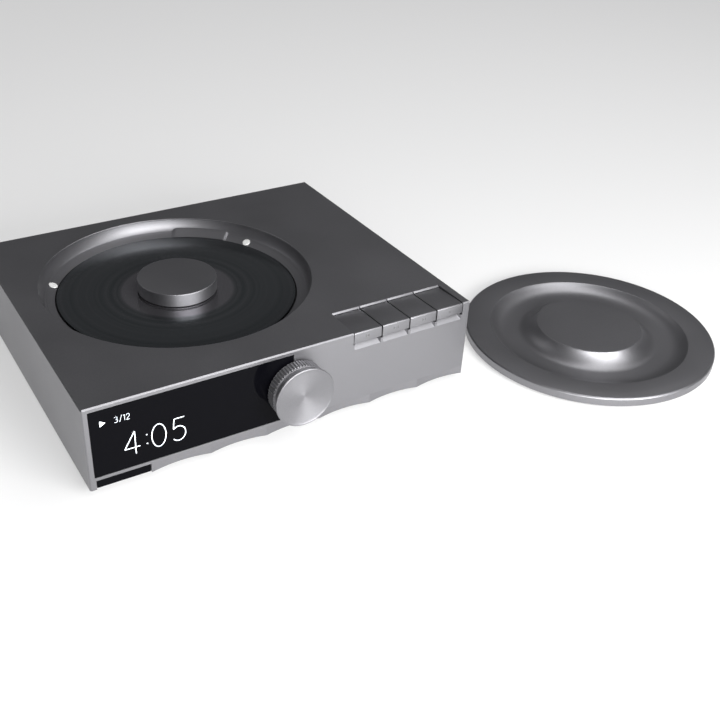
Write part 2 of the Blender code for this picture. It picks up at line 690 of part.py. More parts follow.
def make_key_works(body):
    """A guide plate under the keys, with a hole for each stem and four legs down to the switch board."""
    left = max(KEYS_LEFT - GUIDE_MARGIN, SIDE_THICK + GAP)
    right = min(KEYS_RIGHT + GUIDE_MARGIN, WIDTH - SIDE_THICK - GAP)
    top = HEIGHT - GUIDE_DROP
    board_top = HEIGHT - SWITCH_TOP_DROP - SWITCH_HEIGHT
    outline = rounded_oblong(left, GUIDE_FRONT, right, GUIDE_BACK, CAVITY_CORNER)
    guide = solid("key_guide", prism(outline, "Z", top - GUIDE_THICK, top), plastic("key_guide"), body)
    board = solid("key_board", prism(outline, "Z", board_top - KEY_BOARD_THICK, board_top),
                  finish("key_board", (0.02, 0.09, 0.05), 0.5, 0), body)
    inset = CAVITY_CORNER / 3
    for number, x in enumerate((left + inset, right - inset - GUIDE_LEG)):
        for side, y in enumerate((GUIDE_FRONT + inset, GUIDE_BACK - inset - GUIDE_LEG)):
            join(guide, tool(f"guide_leg_{number}{side}", box(x, y, board_top + GAP, x + GUIDE_LEG, y + GUIDE_LEG,
                                                              top - GUIDE_THICK / 2), body))
    half = SWITCH_SIDE / 2
    for key in range(KEY_COUNT):
        x = KEYS_LEFT + KEY_PITCH * (key + 1 / 2)
        cut(guide, tool(f"stem_hole_{key + 1}", rod(STEM_RADIUS + RUNNING_GAP, "Z", board_top, HEIGHT, TINY_STEPS,
                                                    x, STEM_FROM_FRONT), body))
        join(board, tool(f"switch_{key + 1}", box(x - half, STEM_FROM_FRONT - half, board_top - KEY_BOARD_THICK / 2,
                                                  x + half, STEM_FROM_FRONT + half, board_top + SWITCH_HEIGHT), body))


# Base, feet, back and boards

BACK_FACE = DEPTH - BACK_INSET
BACK_INNER = BACK_FACE - BACK_THICK
BOARD_Z = BASE_THICK + BOARD_STAND
FEET = ((FOOT_FROM_SIDE, FOOT_FROM_FRONT), (WIDTH - FOOT_FROM_SIDE, FOOT_FROM_FRONT),
        (FOOT_FROM_SIDE, DEPTH - FOOT_FROM_BACK), (WIDTH - FOOT_FROM_SIDE, DEPTH - FOOT_FROM_BACK))
SLED_TRAVEL = DISC_RADIUS - SLED_EDGE - SLED_INNER
DECK_RIGHT = SLED_INNER + SLED_TRAVEL + SLED_LENGTH / 2 + GAP + ROD_HOLDER + DECK_END
DECK_SIDE = WELL_RADIUS * DECK_SIDE_SHARE
DAMPERS = tuple((WELL_FROM_LEFT + x, WELL_FROM_FRONT + y)
                for x in (DAMPER_INSET - WELL_RADIUS, DECK_RIGHT - DAMPER_INSET)
                for y in (DAMPER_INSET - DECK_SIDE, DECK_SIDE - DAMPER_INSET))
DAMPER_TOP = HEIGHT - DECK_DROP - DECK_THICK - GAP
OUTPUT_BOARD_BACK = BACK_INNER - GAP
OUTPUT_BOARD_FRONT = OUTPUT_BOARD_BACK - OUTPUT_BOARD_DEPTH
MAIN_BOARD_BACK = OUTPUT_BOARD_FRONT - BOARDS_APART
MAIN_BOARD_RIGHT = WIDTH - MAIN_BOARD_FROM_RIGHT
OUTPUT_BOARD_RIGHT = WIDTH - OUTPUT_BOARD_MARGIN
BASE_EDGE = SIDE_THICK + GAP


def board_posts(left, front, right, back):
    """Places of four posts that stand just inside a board's corners."""
    inset = POST_RADIUS + GAP
    return [(x, y) for x in (left + inset, right - inset) for y in (front + inset, back - inset)]


def screw_spots():
    inset = SIDE_THICK + BASE_SCREW_INSET
    front = FRONT_THICK + BASE_SCREW_INSET
    return [(x, y) for x in (inset, WIDTH - inset) for y in (front, DEPTH - BACK_INSET - BASE_SCREW_INSET)]


def screw_shape(length):
    """A pan head with a round socket above a plain shank; the head's top is at zero."""
    return turned([(0, -SCREW_SOCKET_DEPTH), (SCREW_SOCKET_RADIUS, -SCREW_SOCKET_DEPTH), (SCREW_SOCKET_RADIUS, 0),
                   (SCREW_HEAD_RADIUS - SCREW_SOCKET_DEPTH / 2, 0), (SCREW_HEAD_RADIUS, -SCREW_SOCKET_DEPTH / 2),
                   (SCREW_HEAD_RADIUS, -SCREW_HEAD_HEIGHT), (SCREW_SHANK_RADIUS, -SCREW_HEAD_HEIGHT),
                   (SCREW_SHANK_RADIUS, -length), (0, -length)], TINY_STEPS)


def make_base(body):
    plate = rounded_oblong(BASE_EDGE, FRONT_THICK + GAP, WIDTH - BASE_EDGE, BACK_FACE, CAVITY_CORNER, True)
    base = solid("base_plate", prism(plate, "Z", 0, BASE_THICK),
                 finish("base_plate", (0.1, 0.1, 0.11), 0.45, 1), body)
    posts = board_posts(MAIN_BOARD_LEFT, MAIN_BOARD_FRONT, MAIN_BOARD_RIGHT, MAIN_BOARD_BACK)
    posts += board_posts(OUTPUT_BOARD_MARGIN, OUTPUT_BOARD_FRONT, OUTPUT_BOARD_RIGHT, OUTPUT_BOARD_BACK)
    for number, (x, y) in enumerate(posts, 1):
        join(base, tool(f"board_post_{number}", rod(POST_RADIUS, "Z", BASE_THICK / 2, BOARD_Z - GAP, TINY_STEPS,
                                                    x, y), body))
    for number, (x, y) in enumerate(DAMPERS, 1):
        join(base, tool(f"deck_post_{number}", rod(POST_RADIUS, "Z", BASE_THICK / 2,
                                                   DAMPER_TOP - DAMPER_HEIGHT - GAP, TINY_STEPS, x, y), body))
    for number, (x, y) in enumerate(screw_spots(), 1):
        hole = rod(SCREW_SHANK_RADIUS + GAP, "Z", -OVERRUN, BASE_THICK + OVERRUN, TINY_STEPS, x, y)
        cut(base, tool(f"base_hole_{number}", hole, body))
        screw = solid(f"base_screw_{number}", screw_shape(SCREW_HEAD_HEIGHT + BASE_THICK + GAP * 2),
                      finish(f"base_screw_{number}", (0.1, 0.1, 0.1), 0.4, 1), body, x, y,
                      -SCREW_HEAD_HEIGHT - GAP)
        screw.rotation_euler = (math.pi, 0, 0)


def make_feet(body):
    """Soft round feet under the base, with rounded lower edges."""
    for number, (x, y) in enumerate(FEET, 1):
        profile = [(0, -GAP), (FOOT_RADIUS, -GAP)]
        profile += arc(FOOT_ROUND, FOOT_RADIUS - FOOT_ROUND, FOOT_ROUND - FOOT_HEIGHT, 0, -math.pi / 2, 3)
        profile += [(0, -FOOT_HEIGHT)]
        foot = solid(f"foot_{number}", turned(profile, SMALL_STEPS), finish(f"foot_{number}", (0.02, 0.02, 0.02), 0.8, 0),
                     body, x, y, 0)
        smooth(foot)


def make_dampers(body):
    """Waisted soft mounts between the posts and the deck."""
    for number, (x, y) in enumerate(DAMPERS, 1):
        half = DAMPER_HEIGHT / 2
        profile = [(0, half), (DAMPER_RADIUS, half), (DAMPER_RADIUS, half / 2), (DAMPER_RADIUS - DAMPER_WAIST, half / 4),
                   (DAMPER_RADIUS - DAMPER_WAIST, -half / 4), (DAMPER_RADIUS, -half / 2), (DAMPER_RADIUS, -half), (0, -half)]
        smooth(solid(f"damper_{number}", turned(profile, TINY_STEPS), plastic(f"damper_{number}"), body,
                     x, y, DAMPER_TOP - half))


def make_boards(body):
    green = (0.02, 0.09, 0.05)
    main = solid("main_board", box(MAIN_BOARD_LEFT, MAIN_BOARD_FRONT, BOARD_Z, MAIN_BOARD_RIGHT, MAIN_BOARD_BACK,
                                   BOARD_Z + BOARD_THICK), finish("main_board", green, 0.5, 0), body)
    for number, (x, y) in enumerate(((1 / 3, 1 / 3), (2 / 3, 1 / 3), (1 / 2, 3 / 4)), 1):
        left = mix(MAIN_BOARD_LEFT, MAIN_BOARD_RIGHT, x) - CHIP_SIDE / 2
        front = mix(MAIN_BOARD_FRONT, MAIN_BOARD_BACK, y) - CHIP_SIDE / 2
        join(main, tool(f"chip_{number}", box(left, front, BOARD_Z + BOARD_THICK / 2, left + CHIP_SIDE,
                                              front + CHIP_SIDE, BOARD_Z + BOARD_THICK + CHIP_HEIGHT), body))
    solid("output_board", box(OUTPUT_BOARD_MARGIN, OUTPUT_BOARD_FRONT, BOARD_Z, OUTPUT_BOARD_RIGHT,
                              OUTPUT_BOARD_BACK, BOARD_Z + BOARD_THICK), finish("output_board", green, 0.5, 0), body)


SOCKET_Z = BOARD_Z + BOARD_THICK + GAP
SOCKET_FRONT = BACK_INNER - GAP - SOCKET_DEPTH
SOCKET_AXIS = SOCKET_Z + SOCKET_SIDE / 2
PHONO_CENTRES = tuple(PHONO_FROM_LEFT + PHONO_PITCH * n for n in range(PHONO_COUNT))
OPTICAL_CENTRE = PHONO_CENTRES[-1] + OPTICAL_FROM_PHONO
POWER_CENTRE = OPTICAL_CENTRE + POWER_FROM_OPTICAL


def make_phono_sockets(body):
    """Round pin sockets: a block on the board and a barrel out through the back, bored from behind."""
    names = ("coax_socket", "line_socket_1", "line_socket_2")
    for name, x in zip(names, PHONO_CENTRES):
        half = SOCKET_SIDE / 2
        place_here = frame(f"{name}_axis", body, x, 0, SOCKET_AXIS)
        thing = solid(name, prism(oblong(-half, -half, half, half), "Y", SOCKET_FRONT, BACK_INNER - GAP),
                      finish(name, (0.7, 0.55, 0.25), 0.3, 1), place_here)
        end = DEPTH + PHONO_REACH
        join(thing, tool(f"{name}_barrel", rod(PHONO_RADIUS, "Y", BACK_INNER - OVERRUN, end), place_here))
        cut(thing, tool(f"{name}_bore", rod(PHONO_BORE, "Y", end - PHONO_REACH, end + OVERRUN, TINY_STEPS), place_here))


def make_square_sockets(body):
    """The optical outlet and the power inlet, both open towards the back."""
    half = OPTICAL_SIDE / 2
    axis = frame("optical_axis", body, OPTICAL_CENTRE, 0, SOCKET_Z + half)
    optical = solid("optical_socket", prism(oblong(-half, -half, half, half), "Y", SOCKET_FRONT, BACK_FACE),
                    plastic("optical_socket"), axis)
    bore = OPTICAL_BORE / 2
    cut(optical, tool("optical_bore", prism(oblong(-bore, -bore, bore, bore), "Y", BACK_FACE - OPTICAL_BORE_DEPTH,
                                            BACK_FACE + OVERRUN), axis))
    axis = frame("power_axis", body, POWER_CENTRE, 0, SOCKET_Z + POWER_HEIGHT / 2)
    wide, tall = POWER_WIDTH / 2, POWER_HEIGHT / 2
    power = solid("usb_power_socket", prism(rounded_oblong(-wide, -tall, wide, tall, tall * 7 / 8), "Y",
                                            BACK_FACE - POWER_DEPTH, BACK_FACE),
                  finish("usb_power_socket", (0.6, 0.6, 0.6), 0.3, 1), axis)
    wide, tall = wide - POWER_WALL, tall - POWER_WALL
    hollow = tool("power_hollow", prism(rounded_oblong(-wide, -tall, wide, tall, tall * 7 / 8), "Y",
                                        BACK_FACE - POWER_DEPTH * 4 / 5, BACK_FACE + OVERRUN), axis)
    tongue = tool("power_tongue", prism(oblong(-wide * 3 / 4, -tall / 4, wide * 3 / 4, tall / 4), "Y",
                                        BACK_FACE - POWER_DEPTH, BACK_FACE - POWER_DEPTH / 8), axis)
    cut(hollow, tongue)
    cut(power, hollow)


def make_back(body):
    panel = solid("rear_panel", box(BASE_EDGE, BACK_INNER, BASE_THICK + GAP, WIDTH - BASE_EDGE, BACK_FACE,
                                    HEIGHT - TOP_THICK - GAP), finish("rear_panel", (0.05, 0.05, 0.055), 0.45, 1), body)
    low, high = BACK_INNER - OVERRUN, DEPTH + OVERRUN
    for number, x in enumerate(PHONO_CENTRES, 1):
        cut(panel, tool(f"phono_hole_{number}", rod(PHONO_RADIUS + GAP, "Y", low, high, SMALL_STEPS, x, SOCKET_AXIS), body))
    half = OPTICAL_SIDE / 2 + GAP
    middle = SOCKET_Z + OPTICAL_SIDE / 2
    cut(panel, tool("optical_hole", prism(oblong(OPTICAL_CENTRE - half, middle - half, OPTICAL_CENTRE + half,
                                                 middle + half), "Y", low, high), body))
    wide, tall = POWER_WIDTH / 2 + GAP, POWER_HEIGHT / 2 + GAP
    middle = SOCKET_Z + POWER_HEIGHT / 2
    cut(panel, tool("power_hole", prism(rounded_oblong(POWER_CENTRE - wide, middle - tall, POWER_CENTRE + wide,
                                                       middle + tall, tall * 7 / 8), "Y", low, high), body))
    for number, x in enumerate((REAR_SCREW_FROM_SIDE, WIDTH - REAR_SCREW_FROM_SIDE), 1):
        cut(panel, tool(f"rear_hole_{number}", rod(SCREW_SHANK_RADIUS + GAP, "Y", low, high, TINY_STEPS, x,
                                                   HEIGHT - REAR_SCREW_DROP), body))
        screw = solid(f"rear_screw_{number}", screw_shape(SCREW_HEAD_HEIGHT + BACK_THICK + GAP * 2),
                      finish(f"rear_screw_{number}", (0.1, 0.1, 0.1), 0.4, 1), body, x,
                      BACK_FACE + SCREW_HEAD_HEIGHT + GAP, HEIGHT - REAR_SCREW_DROP)
        screw.rotation_euler = (-math.pi / 2, 0, 0)


# The mechanism, measured from the well's axis at the housing's top

PINION_RADIUS = GEAR_MODULE * PINION_TEETH / 2
WHEEL_RADIUS = GEAR_MODULE * WHEEL_TEETH / 2
MOTOR_PINION_RADIUS = GEAR_MODULE * MOTOR_TEETH / 2
DECK_UNDER = DECK_DROP + DECK_THICK
PLATTER_TOP = DISC_DROP + DISC_THICK + GAP
SLED_TOP = ROD_DROP - SLED_THICK / 2
SLED_SIDE = ROD_ACROSS + ROD_RADIUS * 2
RACK_LINE = SLED_SIDE + RACK_WIDTH      # pitch line of the rack, towards the front
SLED_MIDDLE = SLED_INNER + SLED_TRAVEL / 2
GEAR_X = SLED_MIDDLE
GEAR_Y = -RACK_LINE - PINION_RADIUS
GEAR_TOP = ROD_DROP - RACK_HEIGHT / 2
WHEEL_TOP = SLED_TOP + SLED_THICK + GAP
MOTOR_ANGLE = math.radians(215)
MOTOR_X = GEAR_X + (WHEEL_RADIUS + MOTOR_PINION_RADIUS) * math.cos(MOTOR_ANGLE)
MOTOR_Y = GEAR_Y + (WHEEL_RADIUS + MOTOR_PINION_RADIUS) * math.sin(MOTOR_ANGLE)


def gear_outline(teeth, first=0):
    """Trapezium teeth round a pitch circle; the first tooth's middle is at the angle given."""
    radius = GEAR_MODULE * teeth / 2
    pitch = TURN / teeth
    root, tip = radius - GEAR_MODULE * DEDENDUM_SHARE, radius + GEAR_MODULE * ADDENDUM_SHARE
    wide, narrow = pitch * TOOTH_SHARE * 3 / 4, pitch * TOOTH_SHARE * TOOTH_TIP_SHARE / 2
    points = []
    for tooth in range(teeth):
        middle = first + pitch * tooth
        for r, angle in ((root, -wide), (tip, -narrow), (tip, narrow), (root, wide)):
            points.append((r * math.cos(middle + angle), r * math.sin(middle + angle)))
    return points


def rack_outline():
    """Teeth along X that point towards the front, with their pitch line at zero."""
    pitch = math.pi * GEAR_MODULE
    count = int((SLED_TRAVEL + RACK_SPARE) / pitch)
    root, tip = GEAR_MODULE * DEDENDUM_SHARE, -GEAR_MODULE * ADDENDUM_SHARE
    wide, narrow = pitch * TOOTH_SHARE * 3 / 4, pitch * TOOTH_SHARE * TOOTH_TIP_SHARE / 2
    start = -pitch * (count - 1) / 2
    back = RACK_WIDTH - GAP * 2
    points = [(start - pitch / 2, back), (start - pitch / 2, root)]
    for tooth in range(count):
        middle = start + pitch * tooth
        points += [(middle - wide, root), (middle - narrow, tip), (middle + narrow, tip), (middle + wide, root)]
    points += [(start + pitch * (count - 1 / 2), root), (start + pitch * (count - 1 / 2), back)]
    return points


def make_deck(well):
    """The mechanism's plate, with its hub hole, laser slot, rod holders and the feed gear's axle."""
    plate = rounded_oblong(-WELL_RADIUS, -DECK_SIDE, DECK_RIGHT, DECK_SIDE, DECK_CORNER)
    deck = solid("deck", prism(plate, "Z", -DECK_UNDER, -DECK_DROP), plastic("deck"), well)
    ends = (SLED_INNER - SLED_LENGTH / 2 - GAP - ROD_HOLDER, DECK_RIGHT - DECK_END - ROD_HOLDER)
    for side in (-1, 1):
        for number, x in enumerate(ends):
            across = side * ROD_ACROSS
            half = ROD_RADIUS * 2
            holder = box(x, across - half, -ROD_DROP - half, x + ROD_HOLDER, across + half, -DECK_DROP - DECK_THICK / 2)
            join(deck, tool(f"rod_holder_{side}{number}", holder, well))
    axle = rod(AXLE_RADIUS, "Z", -WHEEL_TOP - WHEEL_THICK - GAP, -DECK_DROP - DECK_THICK / 2, TINY_STEPS, GEAR_X, GEAR_Y)
    join(deck, tool("gear_axle", axle, well))
    hub = rod(DECK_HUB_HOLE, "Z", -DECK_UNDER - OVERRUN, -DECK_DROP + OVERRUN, SMALL_STEPS)
    slot_end = SLED_INNER + SLED_TRAVEL + TURRET_RADIUS + SLOT_CLEARANCE
    slot = prism(rounded_oblong(0, -SLOT_HALF_WIDTH, slot_end, SLOT_HALF_WIDTH, SLOT_HALF_WIDTH / 3), "Z",
                 -DECK_UNDER - OVERRUN, -DECK_DROP + OVERRUN)
    cut(deck, tool("hub_hole", hub, well), tool("laser_slot", slot, well))
    for side in (-1, 1):
        bore = rod(ROD_RADIUS + RUNNING_GAP, "X", ends[0] + ROD_HOLDER / 2, ends[1] + ROD_HOLDER + OVERRUN,
                   TINY_STEPS, side * ROD_ACROSS, -ROD_DROP)
        cut(deck, tool(f"rod_bore_{side}", bore, well))
        name = "guide_rod_1" if side < 0 else "guide_rod_2"
        shaft = rod(ROD_RADIUS, "X", ends[0] + ROD_HOLDER / 2 + GAP, ends[1] + ROD_HOLDER, TINY_STEPS,
                    side * ROD_ACROSS, -ROD_DROP)
        smooth(solid(name, shaft, finish(name, (0.6, 0.6, 0.6), 0.2, 1), well))


def make_drive(well):
    """Spindle motor, turntable, feed motor and the two gears."""
    top = -DECK_UNDER - GAP
    low = top - MOTOR_HEIGHT
    motor = turned([(0, low), (MOTOR_RADIUS, low), (MOTOR_RADIUS, top), (SPINDLE_RADIUS + RUNNING_GAP, top),
                    (SPINDLE_RADIUS + RUNNING_GAP, top - SPINDLE_DEPTH - GAP), (0, top - SPINDLE_DEPTH - GAP)], SMALL_STEPS)
    smooth(solid("spindle_motor", motor, finish("spindle_motor", (0.35, 0.35, 0.36), 0.35, 1), well))
    seat = -PLATTER_TOP
    cone = seat + HUB_CONE_HEIGHT
    profile = [(0, cone), (HUB_CONE_TOP_RADIUS, cone), (HUB_CONE_RADIUS, cone - HUB_CONE_HEIGHT / 2),
               (HUB_CONE_RADIUS, seat), (PLATTER_RADIUS, seat), (PLATTER_RADIUS, seat - PLATTER_THICK),
               (SPINDLE_RADIUS, seat - PLATTER_THICK), (SPINDLE_RADIUS, top - SPINDLE_DEPTH), (0, top - SPINDLE_DEPTH)]
    smooth(solid("turntable", turned(profile, SMALL_STEPS), finish("turntable", (0.03, 0.03, 0.03), 0.5, 0), well))
    gear = frame("gear_axis", well, GEAR_X, GEAR_Y, 0)
    low = -WHEEL_TOP - WHEEL_THICK
    wheel = solid("feed_gear", prism(gear_outline(PINION_TEETH, TURN / 4), "Z", -WHEEL_TOP + GAP - WHEEL_THICK / 2,
                                     -GEAR_TOP), finish("feed_gear", (0.75, 0.72, 0.65), 0.5, 0), gear)
    join(wheel, tool("feed_wheel", prism(gear_outline(WHEEL_TEETH, MOTOR_ANGLE), "Z", low, -WHEEL_TOP), gear))
    cut(wheel, tool("gear_bore", rod(AXLE_RADIUS + RUNNING_GAP, "Z", low - OVERRUN, -GEAR_TOP + OVERRUN, TINY_STEPS), gear))
    shaft = frame("feed_motor_axis", well, MOTOR_X, MOTOR_Y, 0)
    half_tooth = TURN / MOTOR_TEETH / 2
    pinion = solid("motor_pinion", prism(gear_outline(MOTOR_TEETH, MOTOR_ANGLE + math.pi + half_tooth), "Z", low,
                                         -WHEEL_TOP), finish("motor_pinion", (0.7, 0.55, 0.25), 0.3, 1), shaft)
    motor_low = -WHEEL_TOP + GAP
    join(pinion, tool("pinion_shaft", rod(AXLE_RADIUS, "Z", -WHEEL_TOP - WHEEL_THICK / 2, motor_low + SPINDLE_DEPTH,
                                          TINY_STEPS), shaft))
    bore = AXLE_RADIUS + RUNNING_GAP
    feed = turned([(bore, motor_low), (FEED_MOTOR_RADIUS, motor_low), (FEED_MOTOR_RADIUS, top), (0, top),
                   (0, motor_low + SPINDLE_DEPTH + GAP), (bore, motor_low + SPINDLE_DEPTH + GAP)], SMALL_STEPS, closed=True)
    smooth(solid("feed_motor", feed, finish("feed_motor", (0.35, 0.35, 0.36), 0.35, 1), shaft))


def make_sled(well):
    """The laser sled on its two rods, with its turret in the slot, its lens and its rack."""
    origin = frame("sled_place", well, SLED_INNER, 0, 0)
    half = SLED_LENGTH / 2
    low = -SLED_TOP - SLED_THICK
    sled = solid("laser_sled", box(-half, -SLED_SIDE, low, half, SLED_SIDE, -SLED_TOP), plastic("laser_sled"), origin)
    turret_top = -LENS_DROP - LENS_THICK / 2
    join(sled, tool("turret", rod(TURRET_RADIUS, "Z", -SLED_TOP - SLED_THICK / 2, turret_top, SMALL_STEPS), origin))
    pitch = math.pi * GEAR_MODULE
    gap_spot = (GEAR_X - SLED_INNER - pitch / 2) % pitch
    rack = prism(rack_outline(), "Z", -GEAR_TOP - RACK_HEIGHT, -GEAR_TOP)
    bridge = box(-half, -SLED_SIDE - RACK_WIDTH / 2, -GEAR_TOP - RACK_HEIGHT, half, -SLED_SIDE + RACK_WIDTH / 2, -GEAR_TOP)
    join(sled, tool("rack", rack, origin, gap_spot, -RACK_LINE, 0), tool("rack_bridge", bridge, origin))
    for side in (-1, 1):
        bore = rod(ROD_RADIUS + RUNNING_GAP, "X", -half - OVERRUN, half + OVERRUN, TINY_STEPS, side * ROD_ACROSS, -ROD_DROP)
        cut(sled, tool(f"sled_bore_{side}", bore, origin))
    cut(sled, tool("lens_seat", rod(LENS_RADIUS + GAP, "Z", turret_top - LENS_THICK, turret_top + OVERRUN, TINY_STEPS), origin))
    seat = turret_top - LENS_THICK + GAP
    profile = [(0, -LENS_DROP), (LENS_RADIUS / 2, -LENS_DROP - LENS_THICK / 8), (LENS_RADIUS, turret_top),
               (LENS_RADIUS, seat), (0, seat)]
    lens = solid("objective_lens", turned(profile, TINY_STEPS), finish("objective_lens", (0.2, 0.3, 0.6), 0.05, 0), origin)
    smooth(lens)


# Disc, puck and lid


def make_disc(well):
    top, low = -DISC_DROP, -DISC_DROP - DISC_THICK
    profile = [(DISC_BORE_RADIUS, top), (DISC_RADIUS, top), (DISC_RADIUS, low), (DISC_BORE_RADIUS, low)]
    smooth(solid("disc", turned(profile, FINE_STEPS, closed=True), finish("disc", (0.1, 0.1, 0.11), 0.15, 1), well))


def make_puck(well):
    """The turned clamp, hollow below for the hub, with its magnet in the hollow's roof."""
    top = -PUCK_TOP_DROP
    low = -DISC_DROP + GAP
    roof = low + PUCK_RECESS_DEPTH
    foot = PUCK_RADIUS - PUCK_FOOT_STEP
    profile = [(0, top), (PUCK_RADIUS - PUCK_EDGE, top), (PUCK_RADIUS, top - PUCK_EDGE),
               (PUCK_RADIUS, low + PUCK_FOOT_HEIGHT), (foot, low + PUCK_FOOT_HEIGHT), (foot, low),
               (PUCK_RECESS_RADIUS, low), (PUCK_RECESS_RADIUS, roof), (0, roof)]
    smooth(solid("puck_body", turned(profile, ROUND_STEPS), satin("puck_body"), well))
    rim = PUCK_RECESS_RADIUS - GAP
    high = roof - GAP
    profile = [(0, high), (rim, high), (rim, high - MAGNET_THICK), (0, high - MAGNET_THICK)]
    smooth(solid("puck_magnet", turned(profile, SMALL_STEPS), finish("puck_magnet", (0.4, 0.4, 0.42), 0.3, 1), well))


LID_RADIUS = WELL_RADIUS - LID_SIDE_GAP
LID_LOWEST = LID_TROUGH_DEPTH + LID_SHELL


def lid_profile():
    """Rim, hollow ring with an S-shaped shoulder and raised centre above; below, one shell thickness lower."""
    under = LID_TROUGH_RADIUS + LID_SHOULDER
    upper = [(LID_RADIUS - LID_EDGE, 0), (LID_TROUGH_RADIUS, 0)]
    span = LID_TROUGH_RADIUS - LID_TROUGH_FLOOR_RADIUS
    shares = [n / LID_CURVE_STEPS for n in range(1, LID_CURVE_STEPS + 1)]
    upper += [(LID_TROUGH_RADIUS - span * share, -LID_TROUGH_DEPTH * smooth_step(share)) for share in shares]
    inner = LID_TROUGH_FLOOR_RADIUS - LID_BOSS_RADIUS
    climb = LID_TROUGH_DEPTH + LID_BOSS_RISE
    upper += [(LID_TROUGH_FLOOR_RADIUS - inner * math.sin(TURN / 4 * share),
               -LID_TROUGH_DEPTH + climb * (1 - math.cos(TURN / 4 * share))) for share in shares]
    upper += [(0, LID_BOSS_RISE)]
    lower = [(0, LID_BOSS_RISE - LID_SHELL), (LID_BOSS_RADIUS - LID_SHELL, LID_BOSS_RISE - LID_SHELL),
             (LID_BOSS_RADIUS - LID_SHELL / 2, -LID_LOWEST), (LID_TROUGH_FLOOR_RADIUS, -LID_LOWEST),
             (under - LID_SHOULDER / 2, -LID_THICK), (LID_RADIUS - LID_EDGE / 2, -LID_THICK),
             (LID_RADIUS, -LID_THICK + LID_EDGE / 2), (LID_RADIUS, -LID_EDGE)]
    return upper + lower


def make_lid(body):
    place_here = frame("lid_place", body, WIDTH + LID_APART + LID_RADIUS, -LID_FORWARD,
                       LID_LOWEST - FOOT_HEIGHT)
    profile = lid_profile()
    split = next(n for n, point in enumerate(profile) if point[0] == 0)
    ordered = profile[split + 1:] + profile[:split + 1]
    smooth(solid("lid", turned(ordered, FINE_STEPS), satin("lid"), place_here))


def main():
    clear_scene()
    body = frame("body_place", None, -FOOT_FROM_SIDE, -FOOT_FROM_FRONT, FOOT_HEIGHT)
    well = frame("well_axis", body, WELL_FROM_LEFT, WELL_FROM_FRONT, HEIGHT)
    make_housing(body, well)
    make_pads(well)
    make_front(body)
    make_knob(body)
    make_keys(body)
    make_key_works(body)
    make_base(body)
    make_feet(body)
    make_dampers(body)
    make_boards(body)
    make_phono_sockets(body)
    make_square_sockets(body)
    make_back(body)
    make_deck(well)
    make_drive(well)
    make_sled(well)
    make_disc(well)
    make_puck(well)
    make_lid(body)


main()
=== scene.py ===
import math

import bmesh
import bpy
import numpy as np
from mathutils import Matrix, Vector


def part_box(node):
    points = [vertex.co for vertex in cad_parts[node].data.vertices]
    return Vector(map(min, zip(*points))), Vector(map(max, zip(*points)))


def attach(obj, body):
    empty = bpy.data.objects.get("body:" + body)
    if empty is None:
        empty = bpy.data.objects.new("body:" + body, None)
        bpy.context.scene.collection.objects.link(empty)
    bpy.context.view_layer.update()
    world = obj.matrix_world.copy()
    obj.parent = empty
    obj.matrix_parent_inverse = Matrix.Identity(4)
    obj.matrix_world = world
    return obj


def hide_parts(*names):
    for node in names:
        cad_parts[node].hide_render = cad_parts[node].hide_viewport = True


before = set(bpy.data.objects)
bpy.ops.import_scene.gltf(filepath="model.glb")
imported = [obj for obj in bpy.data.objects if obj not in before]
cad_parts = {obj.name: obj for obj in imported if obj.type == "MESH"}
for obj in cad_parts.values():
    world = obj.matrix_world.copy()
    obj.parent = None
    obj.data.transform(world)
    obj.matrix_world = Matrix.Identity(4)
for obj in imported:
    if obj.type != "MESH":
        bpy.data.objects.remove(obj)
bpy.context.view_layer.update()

TURN = 2 * math.pi
SHARPEST = 34                   # degrees between two faces, past which their edge is eased
TONE = (0.265, 0.263, 0.276)    # the aluminium's own colour
FINE_GRAIN = 2600               # cells per metre of a blasted or turned surface


def corners(node):
    return (np.array(corner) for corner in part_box(node))


CORNER, far_corner = corners("housing")
TOP = far_corner[2]
FRONT = CORNER[1]
disc_low, disc_high = corners("disc")
WELL = np.array((*(disc_low + disc_high)[:2] / 2, TOP))             # well's axis at the housing's top
knob_low, knob_high = corners("knob")
KNOB = np.array(((knob_low + knob_high)[0] / 2, FRONT, (knob_low + knob_high)[2] / 2))
LID_DEPTH, LID_SHELL = 0.0043, 0.0015
lid_low, lid_high = corners("lid")
LID = np.array((*(lid_low + lid_high)[:2] / 2, lid_low[2] + LID_DEPTH + LID_SHELL))     # axis, at the rim's top


# Surfaces

def softened(points, cuts, steps=6, closed=False):
    """A polyline with softened corners: corner p becomes p + u c (1-s)^2 + w c s^2 for s from 0 to 1, where u and w
    point back and on along the line and c is how far the corner is cut back; a cut of zero keeps it sharp."""
    p = np.asarray(points, float)
    c = np.broadcast_to(np.asarray(cuts, float), len(p)).copy()
    if not closed:
        c[[0, -1]] = 0
    back, on = np.roll(p, 1, 0) - p, np.roll(p, -1, 0) - p
    back /= np.maximum(np.linalg.norm(back, axis=1, keepdims=True), 1e-12)
    on /= np.maximum(np.linalg.norm(on, axis=1, keepdims=True), 1e-12)
    s = np.linspace(0, 1, steps)[None, :, None]
    soft = p[:, None] + c[:, None, None] * (back[:, None] * (1 - s) ** 2 + on[:, None] * s ** 2)
    line = soft.reshape(-1, p.shape[1])
    apart = np.linalg.norm(line - np.roll(line, 1, 0), axis=1) > 1e-9
    apart[0] = True
    return line[apart]


